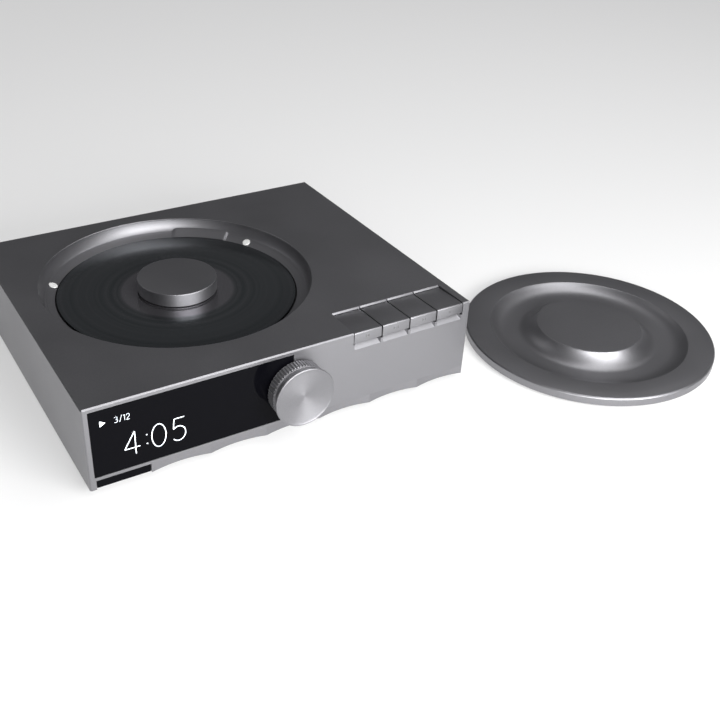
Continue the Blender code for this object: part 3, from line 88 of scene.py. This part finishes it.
def turned(profile, steps, centre, axis="Z", wave=None):
    """A profile of (radius, height) carried round an axis: (r cos a, r sin a, h), or (r cos a, -h, r sin a) for a
    part that turns about Y. A wave(angle, place along the profile) is added to the radius."""
    angle = np.linspace(0, TURN, steps, endpoint=False)[:, None]
    radius, height = profile[None, :, 0], profile[None, :, 1]
    if wave is not None:
        radius = radius + wave(angle, np.arange(len(profile))[None, :])
    a, b = radius * np.cos(angle), radius * np.sin(angle)
    c = np.broadcast_to(height, a.shape)
    parts = (a, b, c) if axis == "Z" else (a, -c, b)
    return np.stack(parts, -1) + centre


def skin(name, grids, body, replaced=(), angle=32, capped=False):
    """One mesh from grids of points (rows, columns, 3), each with whether its rows and its columns close on
    themselves. Equal points are welded, which closes seams and poles, open ends can be capped, and faces are
    turned outwards."""
    corners, quads, first = [], [], 0
    for grid, rows_close, columns_close in grids:
        rows, columns = grid.shape[:2]
        i = np.arange(rows if rows_close else rows - 1)[:, None]
        j = np.arange(columns if columns_close else columns - 1)[None, :]
        k, m = (i + 1) % rows, (j + 1) % columns
        quad = np.stack(np.broadcast_arrays(i * columns + j, k * columns + j, k * columns + m, i * columns + m), -1)
        quads.append(quad.reshape(-1, 4) + first)
        corners.append(grid.reshape(-1, 3))
        first += rows * columns
    corners, quads = np.concatenate(corners), np.concatenate(quads)
    mesh = bpy.data.meshes.new(name)
    mesh.vertices.add(len(corners))
    mesh.vertices.foreach_set("co", corners.ravel())
    mesh.loops.add(quads.size)
    mesh.loops.foreach_set("vertex_index", quads.ravel().astype(np.int32))
    mesh.polygons.add(len(quads))
    mesh.polygons.foreach_set("loop_start", np.arange(0, quads.size, 4, dtype=np.int32))
    mesh.update(calc_edges=True)
    weld(mesh, capped=capped)
    piece = bpy.data.objects.new(name, mesh)
    return seat(piece, body, replaced, angle)


def weld(mesh, outward=True, flatten=False, capped=False):
    """Merges equal points, drops faces without area, caps open ends, and turns the faces outwards."""
    work = bmesh.new()
    work.from_mesh(mesh)
    bmesh.ops.remove_doubles(work, verts=work.verts, dist=2e-7)
    bmesh.ops.dissolve_degenerate(work, edges=work.edges, dist=1e-7)
    if flatten:
        bmesh.ops.dissolve_limit(work, angle_limit=math.radians(0.2), verts=work.verts, edges=work.edges)
    if capped:
        bmesh.ops.holes_fill(work, edges=[edge for edge in work.edges if edge.is_boundary], sides=0)
    if outward:
        bmesh.ops.recalc_face_normals(work, faces=work.faces)
    work.to_mesh(mesh)
    work.free()


def seat(piece, body, replaced=(), angle=32):
    """Links a piece, shades it smooth up to an angle, and puts it on its body in place of CAD nodes."""
    bpy.context.collection.objects.link(piece)
    piece.data.shade_smooth()
    piece.data.set_sharp_from_angle(angle=math.radians(angle))
    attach(piece, body)
    if replaced:
        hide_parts(*replaced)
    return piece


def eased(piece, width):
    """Sharp edges get a small round, as a tumbled or deburred part has."""
    edge = piece.modifiers.new("eased_edges", "BEVEL")
    edge.width = width
    edge.segments = 2
    edge.limit_method = "ANGLE"
    edge.angle_limit = math.radians(SHARPEST)
    edge.use_clamp_overlap = True
    even = piece.modifiers.new("even_shading", "WEIGHTED_NORMAL")
    even.mode = "FACE_AREA"
    even.weight = 100
    even.keep_sharp = True
    return piece


def milled(node, body, width, angle=30):
    """A CAD node's own form, welded and with its facets joined, and with eased edges."""
    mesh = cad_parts[node].data.copy()
    mesh.name = f"{node}_milled"
    weld(mesh, outward=False, flatten=True)
    piece = seat(bpy.data.objects.new(f"{node}_milled", mesh), body, (node,), angle)
    return eased(piece, width)


def outward_normals(line):
    """Unit normals of a closed outline in a plane: its tangent (next less previous) turned a quarter back."""
    along = np.roll(line, -1, 0) - np.roll(line, 1, 0)
    along /= np.linalg.norm(along, axis=1, keepdims=True)
    return np.stack((along[:, 1], -along[:, 0]), -1)


def bar_rows(outline, left, right, ease):
    """A closed (y, z) outline carried along X from left to right, with quarter rounds at both ends: at angle f the
    row lies ease (1 - cos f) in from its end, and its outline is drawn in by ease (1 - sin f)."""
    f = np.linspace(0, TURN / 4, 4)
    across = np.concatenate((left + ease * (1 - np.cos(f)), right - ease * (1 - np.cos(f[::-1]))))
    inset = np.concatenate((ease * (1 - np.sin(f)), ease * (1 - np.sin(f[::-1]))))
    flat = outline[None] - outward_normals(outline)[None] * inset[:, None, None]
    x = np.broadcast_to(across[:, None, None], (*flat.shape[:2], 1))
    return np.concatenate((x, flat), -1)


def plate_rows(outline, spot, raised=0.00003):
    """A convex (x, z) outline as a thin plate on a face that looks along -Y, between its own two middles."""
    flat = np.stack((outline[:, 0], np.zeros(len(outline)), outline[:, 1]), -1) + spot
    middle = np.repeat(flat.mean(0)[None], len(flat), 0)
    back = np.array((0, raised, 0))
    return np.stack((middle, flat, flat + back, middle + back))


def carried(path, section):
    """A closed section of (across, up) offsets carried along an open path in a plane that faces -Y: each section
    point goes to path + normal x across, and to y - up. The ends are closed with a point in the path's line."""
    ahead = np.gradient(path, axis=0)
    ahead /= np.linalg.norm(ahead, axis=1, keepdims=True)
    normal = np.stack((ahead[:, 2], np.zeros(len(path)), -ahead[:, 0]), -1)
    away = np.array((0.0, -1.0, 0.0))
    rows = path[:, None] + normal[:, None] * section[None, :, :1] + away * section[None, :, 1:]
    ends = [np.repeat(rows[end].mean(0)[None], len(section), 0)[None] for end in (0, -1)]
    return np.concatenate((ends[0], rows, ends[1]))


# Finishes

def material(name, colour, roughness, metallic=0.0, **sockets):
    made = bpy.data.materials.new(name)
    made.use_nodes = True
    nodes, links = made.node_tree.nodes, made.node_tree.links
    shader = nodes["Principled BSDF"]
    shader.inputs["Base Color"].default_value = (*colour, 1)
    shader.inputs["Roughness"].default_value = roughness
    shader.inputs["Metallic"].default_value = metallic
    for socket, value in sockets.items():
        shader.inputs[socket.replace("_", " ")].default_value = value
    return made, nodes, links, shader


def noise(nodes, links, scale, detail):
    """Noise on Object coordinates, so its scale is in cells per metre."""
    texture = nodes.new("ShaderNodeTexNoise")
    texture.inputs["Scale"].default_value = scale
    texture.inputs["Detail"].default_value = detail
    links.new(nodes.new("ShaderNodeTexCoord").outputs["Object"], texture.inputs["Vector"])
    return texture.outputs["Fac"]


def spread(nodes, links, value, low, high):
    """The value's middle range carried to low..high."""
    span = nodes.new("ShaderNodeMapRange")
    span.inputs["From Min"].default_value = 0.3
    span.inputs["From Max"].default_value = 0.7
    span.inputs["To Min"].default_value = low
    span.inputs["To Max"].default_value = high
    links.new(value, span.inputs["Value"])
    return span.outputs["Result"]


def tinted(nodes, links, value, low, high, shader):
    ramp = nodes.new("ShaderNodeMix")
    ramp.data_type = "RGBA"
    ramp.inputs["A"].default_value = (*low, 1)
    ramp.inputs["B"].default_value = (*high, 1)
    links.new(value, ramp.inputs["Factor"])
    links.new(ramp.outputs["Result"], shader.inputs["Base Color"])


def shades(colour, share):
    return [part * share for part in colour]


def bumped(nodes, links, height, distance, shader):
    bump = nodes.new("ShaderNodeBump")
    bump.inputs["Distance"].default_value = distance
    bump.inputs["Strength"].default_value = 1
    links.new(height, bump.inputs["Height"])
    links.new(bump.outputs["Normal"], shader.inputs["Normal"])


def blasted_aluminium():
    """Anodised aluminium with a fine blasted grain and a faint cloudiness."""
    made, nodes, links, shader = material("blasted_aluminium", TONE, 0.42, 1)
    fine = noise(nodes, links, FINE_GRAIN, 3)
    cloud = noise(nodes, links, 22, 2)
    tinted(nodes, links, spread(nodes, links, fine, 0, 1), shades(TONE, 0.94), shades(TONE, 1.06), shader)
    links.new(spread(nodes, links, cloud, 0.40, 0.45), shader.inputs["Roughness"])
    bumped(nodes, links, fine, 0.000012, shader)
    return made


def black_glass():
    """Smoked glass over black, coated against reflections, with a faint smear in its gloss."""
    made, nodes, links, shader = material("black_glass", (0.002, 0.002, 0.003), 0.06, 0, IOR=1.14)
    smear = noise(nodes, links, 60, 3)
    links.new(spread(nodes, links, smear, 0.05, 0.09), shader.inputs["Roughness"])
    return made


def across_the_grooves(nodes, links, centre, axis=(0, 0, 1)):
    """The way across lathe grooves: the axis crossed with the place less the centre runs along them, and the
    surface's normal crossed with that runs across."""
    place = nodes.new("ShaderNodeTexCoord").outputs["Object"]
    away = nodes.new("ShaderNodeVectorMath")
    away.operation = "SUBTRACT"
    away.inputs[1].default_value = tuple(centre)
    links.new(place, away.inputs[0])
    across = nodes.new("ShaderNodeVectorMath")
    across.operation = "CROSS_PRODUCT"
    across.inputs[0].default_value = axis
    links.new(away.outputs["Vector"], across.inputs[1])
    unit = nodes.new("ShaderNodeVectorMath")
    unit.operation = "NORMALIZE"
    links.new(across.outputs["Vector"], unit.inputs[0])
    world = nodes.new("ShaderNodeVectorTransform")
    world.vector_type = "VECTOR"
    world.convert_from, world.convert_to = "OBJECT", "WORLD"
    links.new(unit.outputs["Vector"], world.inputs["Vector"])
    over = nodes.new("ShaderNodeVectorMath")
    over.operation = "CROSS_PRODUCT"
    links.new(nodes.new("ShaderNodeNewGeometry").outputs["Normal"], over.inputs[0])
    links.new(world.outputs["Vector"], over.inputs[1])
    return away.outputs["Vector"], over.outputs["Vector"]


def turned_aluminium(name, centre, axis=(0, 0, 1)):
    """Aluminium off the lathe: its gloss is drawn out across fine grooves that run round the axis."""
    made, nodes, links, shader = material(name, TONE, 0.5, 1, Anisotropic=0.5)
    links.new(across_the_grooves(nodes, links, centre, axis)[1], shader.inputs["Tangent"])
    fine = noise(nodes, links, FINE_GRAIN, 3)
    tinted(nodes, links, spread(nodes, links, fine, 0, 1), shades(TONE, 0.95), shades(TONE, 1.05), shader)
    cloud = noise(nodes, links, 30, 2)
    links.new(spread(nodes, links, cloud, 0.48, 0.53), shader.inputs["Roughness"])
    bumped(nodes, links, fine, 0.000005, shader)
    return made


def disc_label():
    """Dark coated disc: fine rings brush its gloss into rays, and a trace of colour follows the rings."""
    made, nodes, links, shader = material("disc_label", (0.05, 0.05, 0.055), 0.16, 0.9, Anisotropic=0.6)
    away, across = across_the_grooves(nodes, links, WELL)
    links.new(across, shader.inputs["Tangent"])
    radius = nodes.new("ShaderNodeVectorMath")
    radius.operation = "LENGTH"
    links.new(away, radius.inputs[0])
    rings = nodes.new("ShaderNodeTexNoise")
    rings.noise_dimensions = "1D"
    rings.inputs["Scale"].default_value = 420
    rings.inputs["Detail"].default_value = 3
    links.new(radius.outputs["Value"], rings.inputs["W"])
    hub = nodes.new("ShaderNodeMapRange")
    for socket, value in (("From Min", 0.027), ("From Max", 0.031), ("To Min", 1.5), ("To Max", 0)):
        hub.inputs[socket].default_value = value
    links.new(radius.outputs["Value"], hub.inputs["Value"])
    both = nodes.new("ShaderNodeMath")
    links.new(spread(nodes, links, rings.outputs["Fac"], 0, 0.25), both.inputs[0])
    links.new(hub.outputs["Result"], both.inputs[1])
    tinted(nodes, links, both.outputs["Value"], (0.085, 0.095, 0.10), (0.22, 0.215, 0.23), shader)
    return made


def plain(name, colour, roughness, metallic=0.0, grain=900, depth=0.00002):
    """Plastic, paint, rubber or sheet metal with its own fine grain."""
    made, nodes, links, shader = material(name, colour, roughness, metallic)
    fine = noise(nodes, links, grain, 2)
    tinted(nodes, links, spread(nodes, links, fine, 0, 1), shades(colour, 0.85), shades(colour, 1.15), shader)
    links.new(spread(nodes, links, fine, roughness - 0.05, roughness + 0.05), shader.inputs["Roughness"])
    bumped(nodes, links, fine, depth, shader)
    return made


aluminium = blasted_aluminium()
glass = black_glass()
label = disc_label()
black_plastic = plain("black_plastic", (0.012, 0.012, 0.013), 0.45)
black_paint = plain("black_paint", (0.03, 0.03, 0.032), 0.42, 0.3)
rubber = plain("soft_rubber", (0.02, 0.02, 0.02), 0.75)
white_pad = plain("white_pad", (0.6, 0.6, 0.59), 0.5)
plated = plain("plated_brass", (0.75, 0.58, 0.28), 0.22, 1, 2000, 0.000004)
steel = plain("ground_steel", (0.55, 0.55, 0.56), 0.28, 1, 2000, 0.000004)
board = plain("green_board", (0.02, 0.09, 0.05), 0.45)
engraving = plain("engraved_mark", (0.11, 0.11, 0.115), 0.6)
ivory = plain("ivory_plastic", (0.7, 0.66, 0.56), 0.45)
display_white = material("display_white", (0.9, 0.95, 1.0), 0.4, 0,
                         Emission_Color=(0.9, 0.95, 1.0, 1), Emission_Strength=1.0)[0]


def dress(piece, finish):
    piece.data.materials.clear()
    piece.data.materials.append(finish)
    return piece


# Pieces

def make_housing():
    dress(milled("housing", "chassis", 0.00012, 11), aluminium)


def make_well():
    """The well's wall ends on its ledge in a cove, a quarter of an ellipse in section. The rests lie on the ledge:
    each of their points is raised by the ledge's slope times its way outwards."""
    wall, behind, wide = 0.06796, 0.0684, 0.0034
    start, tall, bed = -0.0007, 0.0061, -0.0072
    f = np.linspace(0, TURN / 4, 24)
    cove = np.stack((wall - wide * (1 - np.cos(f)), start - tall * np.sin(f)), -1)
    profile = np.concatenate((cove, [(wall - wide, bed), (behind, bed), (behind, start)]))
    piece = skin("well_cove", [(turned(profile, 256, WELL), True, True)], "chassis")
    dress(piece, turned_aluminium("well_aluminium", WELL))
    radius, proud, sunk = 0.0021, 0.0004, -0.0003
    ledge_drop, ledge_slope = 0.00742, 0.356            # under a rest's middle
    profile = softened([(0, proud), (radius, proud), (radius, sunk), (0, sunk)], [0, 0.00015, 0, 0], 4)
    for number in range(1, 4):
        low, high = corners(f"lid_pad_{number}")
        middle = np.array((*(low + high)[:2] / 2, TOP - ledge_drop))
        outwards = (middle - WELL) * (1, 1, 0)
        points = turned(profile, 48, middle)
        points[..., 2] += (points - middle) @ outwards / np.linalg.norm(outwards) * ledge_slope
        piece = skin(f"lid_pad_{number}_disc", [(points, True, False)], "chassis", (f"lid_pad_{number}",))
        dress(piece, white_pad)


def make_keys():
    """Each key is one L-shaped section carried along X: a slab that falls a little to the back and a skirt with a
    bright bevel along its upper front edge. A stem stands below it."""
    top, back, under, drop = -0.0002, -0.0011, -0.0033, -0.0056
    skirt, bevel, rounds = 0.0026, 0.0004, [0.0002, 0.0002, 0.0002, 0.0002, 0.00012, 0.00006, 0.00006]
    stem, stem_behind, mark_drop, mark_proud = 0.002, 0.0135, 0.0030, 0.00002
    for key, marks in enumerate(key_marks(), 1):
        name = f"key_{key}"
        low, high = corners(name)
        length, middle, foot = (high - low)[1], (low + high)[0] / 2, low[2] - TOP
        outline = softened([(0, drop), (skirt, drop), (skirt, under), (length, under), (length, back),
                            (bevel, top), (0, top - bevel)], rounds, 4, closed=True) + (FRONT, TOP)
        rows = bar_rows(outline, low[0], high[0], 0.00012)
        dress(skin(f"{name}_milled", [(rows, False, True)], name, (name,), 30, capped=True), aluminium)
        profile = softened([(0, under), (stem, under), (stem, foot), (0, foot)], [0, 0, 0.0003, 0], 3)
        rows = turned(profile, 40, (middle, FRONT + stem_behind, TOP))
        dress(skin(f"{name}_stem", [(rows, True, False)], name), aluminium)
        spot = (middle, FRONT - mark_proud, TOP - mark_drop)
        plates = [(plate_rows(softened(mark, 0.00008, 3, closed=True), spot), False, True) for mark in marks]
        dress(skin(f"{name}_mark", plates, name), engraving)


def make_pocket_bevel():
    """A bevel along the back of the key pocket, broken at the splits: a four-sided section carried along X."""
    near, wall, behind, upper, lower = 0.0202, 0.0209, 0.0211, -0.0001, -0.0008
    section = np.array([(near, lower), (behind, lower), (behind, upper), (wall, upper)]) + (FRONT, TOP)
    bars = []
    for key in range(1, 5):
        low, high = corners(f"key_{key}")
        bars.append((bar_rows(section, low[0], high[0], 0.00003), False, True))
    dress(skin("key_pocket_bevel", bars, "chassis", (), 20, capped=True), aluminium)


def key_marks():
    """Plain marks for back, play and pause, next, and stop, as convex outlines in the key's front face."""
    tall, bar, long = 0.00075, 0.00022, 0.0013

    def upright(x):
        return [(x - bar, -tall), (x + bar, -tall), (x + bar, tall), (x - bar, tall)]

    def arrow(x, way):
        return [(x, -tall), (x + way * long, 0), (x, tall)][::way]

    square = [(-tall, -tall), (tall, -tall), (tall, tall), (-tall, tall)]
    return ([upright(-0.0011), arrow(0.0007, -1)], [arrow(-0.0015, 1), upright(0.0004), upright(0.0012)],
            [arrow(-0.0007, 1), upright(0.0011)], [square])


def make_lid():
    """Flat rim with a cut edge, a hollow ring that falls as a fourth power from the rim, and a raised centre whose
    wall rises from the hollow's floor as a power of the way inwards; the underside follows one shell lower."""
    edge, rim = (lid_high - lid_low)[0] / 2, 0.0535
    floor, boss = 0.0385, 0.0285
    depth, rise, shell, thick = LID_DEPTH, 0.0025, LID_SHELL, 0.0048
    t = np.linspace(0, 1, 40)
    shoulder = np.stack((rim - (rim - floor) * t, -depth * (1 - (1 - t) ** 4)), -1)
    climb = np.stack((floor - (floor - boss) * t, -depth + (depth + rise) * t ** 2.3), -1)
    outside = softened([(edge, -thick + 0.0004), (edge, -0.0007), (edge - 0.0007, 0), (rim, 0), shoulder[3]],
                       [0, 0.0002, 0.0002, 0.0004, 0], 4)
    crown = softened([climb[-2], (boss, rise), (boss - 0.002, rise)], [0, 0.00035, 0], 6)
    top = np.concatenate((outside, shoulder[4:], climb[1:-2], crown, [(0, rise)]))
    lowest = -depth - shell
    under = softened([(0, rise - shell), (boss - shell, rise - shell), (boss - shell / 2, lowest), (floor, lowest),
                      (edge - 0.0123, -thick), (edge - 0.0004, -thick), (edge, -thick + 0.0004)],
                     [0, 0.0006, 0.0006, 0.001, 0.001, 0.0002, 0], 5)
    profile = np.concatenate((under[:-1], top))
    piece = skin("lid_turned", [(turned(profile, 256, LID), True, False)], "lid", ("lid",))
    dress(piece, aluminium)


def make_puck():
    """A turned clamp with a step round its foot and a hollow for its magnet. Its sides show the lathe's grooves."""
    top, low = -0.0001, -0.0073
    radius, foot, bore, step, roof = 0.020, 0.0192, 0.0086, low + 0.0007, low + 0.0046
    profile = softened([(0, top), (radius, top), (radius, step), (foot, step), (foot, low), (bore, low),
                        (bore, roof), (0, roof)], [0, 0.0005, 0.00015, 0.00015, 0.0001, 0.0002, 0.0002, 0], 6)
    piece = skin("puck_turned", [(turned(profile, 192, WELL), True, False)], "puck", ("puck_body",))
    dress(piece, aluminium)
    piece.data.materials.append(turned_aluminium("puck_aluminium", WELL))
    upright = [int(abs(face.normal.z) < 0.5) for face in piece.data.polygons]
    piece.data.polygons.foreach_set("material_index", upright)


def make_disc():
    top, low, hole, radius = -0.0076, -0.0088, 0.0075, 0.060
    profile = softened([(hole, top), (radius, top), (radius, low), (hole, low)], 0.00015, 4, closed=True)
    dress(skin("disc_pressed", [(turned(profile, 256, WELL), True, True)], "disc", ("disc",)), label)


def make_knob():
    """Blind bore, knurled ring, waist, flared rim and hollow face, turned about Y; the knurl is the radius less a
    rounded comb of grooves."""
    near, end, face, deep = 0.0009, 0.0061, 0.0111, 0.0080
    bore, ring, waist, rim, hollow_radius, lip = 0.00305, 0.0143, 0.0133, 0.0151, 0.0141, 0.00015
    grooves, groove_depth, hollow_depth = 60, 0.0006, 0.00125
    points = [(0, deep), (bore, deep), (bore, near), (ring, near), (ring, end), (waist, end), (waist, end + 0.0022),
              (rim, face - 0.0009), (rim, face - 0.0003), (0.0148, face), (ring, face), (hollow_radius, face - lip)]
    cuts = [0, 0, 0.0002, 0.0004, 0.0004, 0.0002, 0.0008, 0.0002, 0.00012, 0.00012, 0.00025, 0]
    dish = np.linspace(1, 0, 18)[1:]
    hollow = np.stack((hollow_radius * dish, face - lip - hollow_depth * (1 - dish ** 2)), -1)
    profile = np.concatenate((softened(points, cuts, 6), hollow))
    lowest = np.flatnonzero(profile[:, 0] > ring - 0.00001)[0]
    belt = np.stack((np.full(6, ring), np.linspace(near + 0.0003, end - 0.0003, 6)), -1)
    profile = np.concatenate((profile[:lowest + 1], belt, profile[lowest + 1:]))
    radius, height = profile.T
    belt_share = np.clip((radius - ring + 0.0005) / 0.0005, 0, 1) * (height < end + 0.00005) * (height >= near)

    def knurl(angle, place):
        comb = np.clip(0.5 + 0.9 * np.cos(grooves * angle), 0, 1)
        return -groove_depth * (1 - comb) * belt_share[place]

    piece = skin("knob_turned", [(turned(profile, 720, KNOB, "Y", knurl), True, False)], "knob", ("knob",), 40)
    dress(piece, turned_aluminium("knob_aluminium", KNOB, (0, 1, 0)))


# Strokes of plain figures, in a cell one unit high

def bow(across, up, wide, tall, start, end, steps=20):
    """Points (across + wide cos a, up + tall sin a) for a from start to end degrees."""
    a = np.radians(np.linspace(start, end, steps))
    return np.stack((across + wide * np.cos(a), up + tall * np.sin(a)), -1)


def figures():
    return {
        "0": [bow(0.28, 0.5, 0.26, 0.48, 90, 450, 40)],
        "1": [np.array([(0.12, 0.82), (0.30, 0.98), (0.30, 0.02)])],
        "2": [np.concatenate((bow(0.28, 0.72, 0.24, 0.26, 170, -35), [(0.04, 0.02), (0.54, 0.02)]))],
        "3": [np.concatenate((bow(0.26, 0.75, 0.22, 0.23, 150, -90), bow(0.26, 0.27, 0.26, 0.25, 90, -150)))],
        "4": [np.array([(0.42, 0.02), (0.42, 0.98), (0.02, 0.30), (0.58, 0.30)])],
        "5": [np.concatenate(([(0.50, 0.98), (0.12, 0.98), (0.08, 0.56)], bow(0.27, 0.33, 0.26, 0.31, 128, -140)))],
        "/": [np.array([(0.05, -0.05), (0.40, 1.05)])],
    }


def write(name, text, left, bottom, tall, weight):
    """Figures drawn as flat strokes just proud of the window, each stroke carried along its own path."""
    shapes, x = figures(), left
    section = np.array([(-0.5, 0), (-0.35, 1), (0.35, 1), (0.5, 0)]) * (weight, 0.00002)
    grids = []
    for figure in text:
        if figure == ":":
            for up in (0.30, 0.68):
                dot = bow(0, 0, weight * 0.75, weight * 0.75, 0, 345, 24)
                spot = CORNER + (x + 0.10 * tall, 0.00008, bottom + up * tall)
                grids.append((plate_rows(dot, spot), False, True))
            x += 0.26 * tall
            continue
        for line in shapes[figure]:
            path = np.stack((line[:, 0] * tall, np.zeros(len(line)), line[:, 1] * tall), -1)
            path += CORNER + (x, 0.0001, bottom)
            grids.append((carried(softened(path, 0.04 * tall, 4), section), False, True))
        x += (0.5 if figure in "1/" else 0.74) * tall
    dress(skin(name, grids, "chassis"), display_white)


def make_display():
    write("display_time", "4:05", 0.0165, 0.0125, 0.0125, 0.00042)
    write("display_track", "3/12", 0.0135, 0.0318, 0.0030, 0.00017)
    triangle = softened([(0, 0), (0.0026, 0.0015), (0, 0.0030)], 0.0002, 4, closed=True)
    rows = plate_rows(triangle, CORNER + (0.0072, 0.00008, 0.0318))
    dress(skin("display_play", [(rows, False, True)], "chassis"), display_white)


def make_fittings():
    """Feet, screws, badge and the back's panel and sockets keep their own forms, with smooth rounds and eased
    edges. A node with a higher number is finished as the first of its kind."""
    fittings = {"foot_1": (rubber, 0.0003), "base_screw_1": (black_paint, 0.00012),
                "rear_screw_1": (black_paint, 0.00012), "rear_panel": (black_paint, 0.0002),
                "base_plate": (black_paint, 0.0002), "coax_socket": (plated, 0.0002),
                "line_socket_1": (plated, 0.0002), "optical_socket": (black_plastic, 0.0002),
                "usb_power_socket": (steel, 0.0001), "badge_insert": (glass, 0.0001)}
    for node in sorted(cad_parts):
        kind = node if node in fittings else f"{node[:-1]}1"
        if kind in fittings:
            finish, width = fittings[kind]
            dress(milled(node, "chassis", width, SHARPEST), finish)


def dress_nodes():
    """Finishes for the CAD nodes that show as they are."""
    finishes = {"display_glass": glass, "badge_insert": black_plastic, "rear_panel": black_paint,
                "base_plate": black_paint, "encoder_shaft": steel, "encoder": black_plastic,
                "turntable": black_plastic, "deck": black_plastic, "laser_sled": black_plastic,
                "objective_lens": glass, "spindle_motor": steel, "feed_motor": steel, "guide_rod_1": steel,
                "guide_rod_2": steel, "feed_gear": ivory, "motor_pinion": plated, "puck_magnet": steel,
                "display_module": black_plastic, "key_guide": black_plastic, "key_board": board,
                "main_board": board, "output_board": board, "usb_power_socket": steel,
                "optical_socket": black_plastic, "coax_socket": plated, "line_socket_1": plated,
                "line_socket_2": plated}
    for node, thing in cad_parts.items():
        finish = finishes.get(node)
        if finish is None:
            finish = (rubber if node.startswith(("foot_", "damper_")) else
                      white_pad if node.startswith("lid_pad") else
                      black_paint if "screw" in node else aluminium)
        dress(thing, finish)


def make_stage():
    """A pale floor, whose glow camera, glossy and transmission rays see, under a plain grey world."""
    bpy.ops.mesh.primitive_plane_add(size=8, location=(0.1, 0.1, 0))
    floor = bpy.context.active_object
    floor.name = "floor"
    made, nodes, links, shader = material("pale_floor", (0.45, 0.45, 0.45), 0.6, Specular_IOR_Level=0.2,
                                          Emission_Color=(1, 1, 1, 1))
    path = nodes.new("ShaderNodeLightPath")
    seen = path.outputs["Is Camera Ray"]
    for kind in ("Is Glossy Ray", "Is Transmission Ray"):
        either = nodes.new("ShaderNodeMath")
        either.operation = "MAXIMUM"
        links.new(seen, either.inputs[0])
        links.new(path.outputs[kind], either.inputs[1])
        seen = either.outputs["Value"]
    glow = nodes.new("ShaderNodeMath")
    glow.operation = "MULTIPLY"
    glow.inputs[1].default_value = 0.45
    links.new(seen, glow.inputs[0])
    links.new(glow.outputs["Value"], shader.inputs["Emission Strength"])
    dress(floor, made)
    world = bpy.context.scene.world or bpy.data.worlds.new("world")
    bpy.context.scene.world = world
    world.use_nodes = True
    world.node_tree.nodes["Background"].inputs["Color"].default_value = (0.5, 0.5, 0.52, 1)
    world.node_tree.nodes["Background"].inputs["Strength"].default_value = 0.24


def area_light(name, place, aim, width, height, energy):
    """A softbox at a place, turned to its aim, with its width level."""
    lamp = bpy.data.lights.new(name, "AREA")
    lamp.shape = "RECTANGLE"
    lamp.size, lamp.size_y, lamp.energy = width, height, energy
    holder = bpy.data.objects.new(name, lamp)
    bpy.context.collection.objects.link(holder)
    holder.location = place
    holder.rotation_euler = (Vector(aim) - Vector(place)).to_track_quat("-Z", "Y").to_euler()


def make_lights():
    area_light("front_softbox", (0.45, -0.78, 0.70), (0.12, 0.03, 0.02), 0.9, 0.7, 4)
    area_light("low_softbox", (0.11, -0.43, 0.20), (0.15, 0.05, 0.03), 0.6, 0.16, 5)
    area_light("over_softbox", (0.50, -0.15, 1.02), (0.14, 0.05, 0.03), 1.1, 0.45, 5)
    area_light("back_softbox", (-0.6, 1.1, 1.2), (0.1, 0.05, 0.0), 1.2, 0.6, 1.5)


def make_camera():
    """The photograph's view: yaw, pitch and roll turn the camera's axes, and its place is measured from the
    housing's corner."""
    yaw, pitch, roll = 0.554326, 0.574513, 0.039375
    ahead = Vector((math.sin(yaw) * math.cos(pitch), math.cos(yaw) * math.cos(pitch), -math.sin(pitch)))
    level = Vector((math.cos(yaw), -math.sin(yaw), 0))
    upright = level.cross(ahead)
    right = level * math.cos(roll) + upright * math.sin(roll)
    up = upright * math.cos(roll) - level * math.sin(roll)
    lens = bpy.data.cameras.new("camera")
    lens.sensor_width, lens.lens, lens.shift_x, lens.clip_start = 36, 49.104, 0.0417, 0.01
    camera = bpy.data.objects.new("camera", lens)
    bpy.context.collection.objects.link(camera)
    place = Vector(CORNER) + Vector((-0.083248, -0.324713, 0.279086))
    camera.matrix_world = Matrix.Translation(place) @ Matrix((right, up, -ahead)).transposed().to_4x4()
    bpy.context.scene.camera = camera


def main():
    bpy.context.scene.view_settings.view_transform = "Standard"
    make_camera()
    make_lights()
    make_stage()
    dress_nodes()
    make_housing()
    make_well()
    make_keys()
    make_pocket_bevel()
    make_lid()
    make_puck()
    make_disc()
    make_knob()
    make_display()
    make_fittings()


main()
